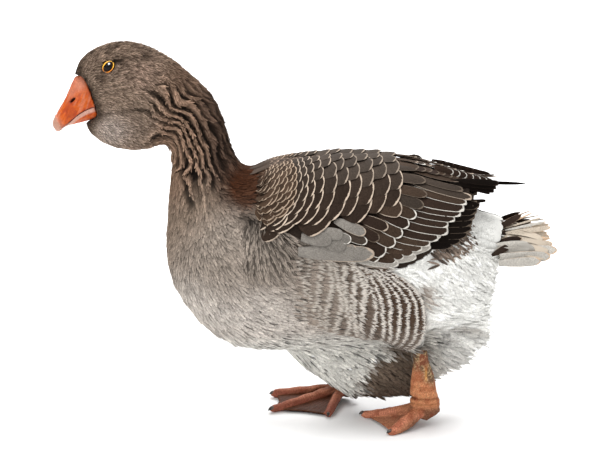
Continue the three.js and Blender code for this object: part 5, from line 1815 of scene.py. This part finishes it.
def from_view(table):
    """Rows for the side view, from rows that are placed in the camera's view."""
    rows = []
    for root_right, root_down, tip_right, tip_down, ahead, up, *rest in table:
        root_x, root_z = view_place(root_right, root_down)
        rows.append((root_x + ahead, root_z + up, *view_place(tip_right, tip_down), *rest))
    return rows


for name, table, finish, rim, shape in (
        ("tail_side_vanes", from_view(SIDE_VANES), leaf_finish, QUILL_PEACH, ROUND_TIP),
        ("tail_leaves", LEAVES, leaf_finish, LEAF_RIM, LEAF_TIP)):
    rows = []
    for root_x, root_z, tip_x, tip_z, wide, colour, height in table:
        root, tip = over_fan(root_x, root_z, height - 1.5), over_fan(tip_x, tip_z, height)
        rows.append((root, tip, 50 + 0.5 * tip[1], wide, colour, rim))
    free_vanes(name, rows, finish, "tail_plumage", (1, -1), shape=shape)

# ---- Floor, light and camera ----------------------------------------------------------------------
# A pale sweep of paper that the bird stands on, lit evenly from above with soft boxes, and the camera at
# the bird's left side, a little above its back.

FLOOR_WHITE = (0.86, 0.86, 0.86, 1)
FLOOR_HALF = 9  # metres
SKY_STRENGTH = 0.70

floor_mesh = bpy.data.meshes.new("floor")
corners = [(x * FLOOR_HALF, y * FLOOR_HALF, 0) for x, y in ((-1, -1), (1, -1), (1, 1), (-1, 1))]
floor_mesh.from_pydata(corners, [], [(0, 1, 2, 3)])
floor = new_piece("floor", floor_mesh)
paper = bpy.data.materials.new("paper")
paper.use_nodes = True
paper_tree = paper.node_tree
paper_tree.nodes["Principled BSDF"].inputs["Roughness"].default_value = 0.9
paper_grain = use_group(paper_tree, GRAIN, {"Color": FLOOR_WHITE, "Size": 3.0, "Light": 1.01, "Dark": 0.99})
paper_tree.links.new(paper_grain.outputs["Color"], paper_tree.nodes["Principled BSDF"].inputs["Base Color"])
floor_mesh.materials.append(paper)

world = bpy.data.worlds.new("studio")
bpy.context.scene.world = world
world.use_nodes = True
world.node_tree.nodes["Background"].inputs["Color"].default_value = (1, 1, 1, 1)
world.node_tree.nodes["Background"].inputs["Strength"].default_value = SKY_STRENGTH

LAMPS = {  # place, width, power in watts
    "overhead": ((0.3, 0.3, 2.4), 1.2, 44),
    "front_left": ((1.6, 2.2, 1.7), 1.0, 22),
    "rear_left": ((-1.1, 1.3, 2.1), 0.12, 6),
    "backdrop": ((0, -4.5, 4.0), 4.0, 420),
}
AIM = Vector((0, 0, 0.22))  # the middle of the bird, where every lamp points
FILM_WIDTH = 36  # mm
for name, (spot, width, power) in LAMPS.items():
    lamp = bpy.data.objects.new(name, bpy.data.lights.new(name, "AREA"))
    bpy.context.scene.collection.objects.link(lamp)
    lamp.data.energy = power
    lamp.data.size = width
    lamp.location = spot
    lamp.rotation_euler = (Vector(spot) - AIM).to_track_quat("Z", "Y").to_euler()

camera = bpy.data.objects.new("camera", bpy.data.cameras.new("camera"))
bpy.context.scene.collection.objects.link(camera)
camera.location = (EYE_ALONG * MM, EYE_AWAY * MM, EYE_HIGH * MM)
camera.rotation_euler = (math.radians(90 - VIEW_TILT), 0, math.pi)
camera.data.sensor_width = FILM_WIDTH
camera.data.lens = FILM_WIDTH * VIEW_LENS / VIEW_SIZE[0]
bpy.context.scene.camera = camera
bpy.context.scene.view_settings.view_transform = "Standard"
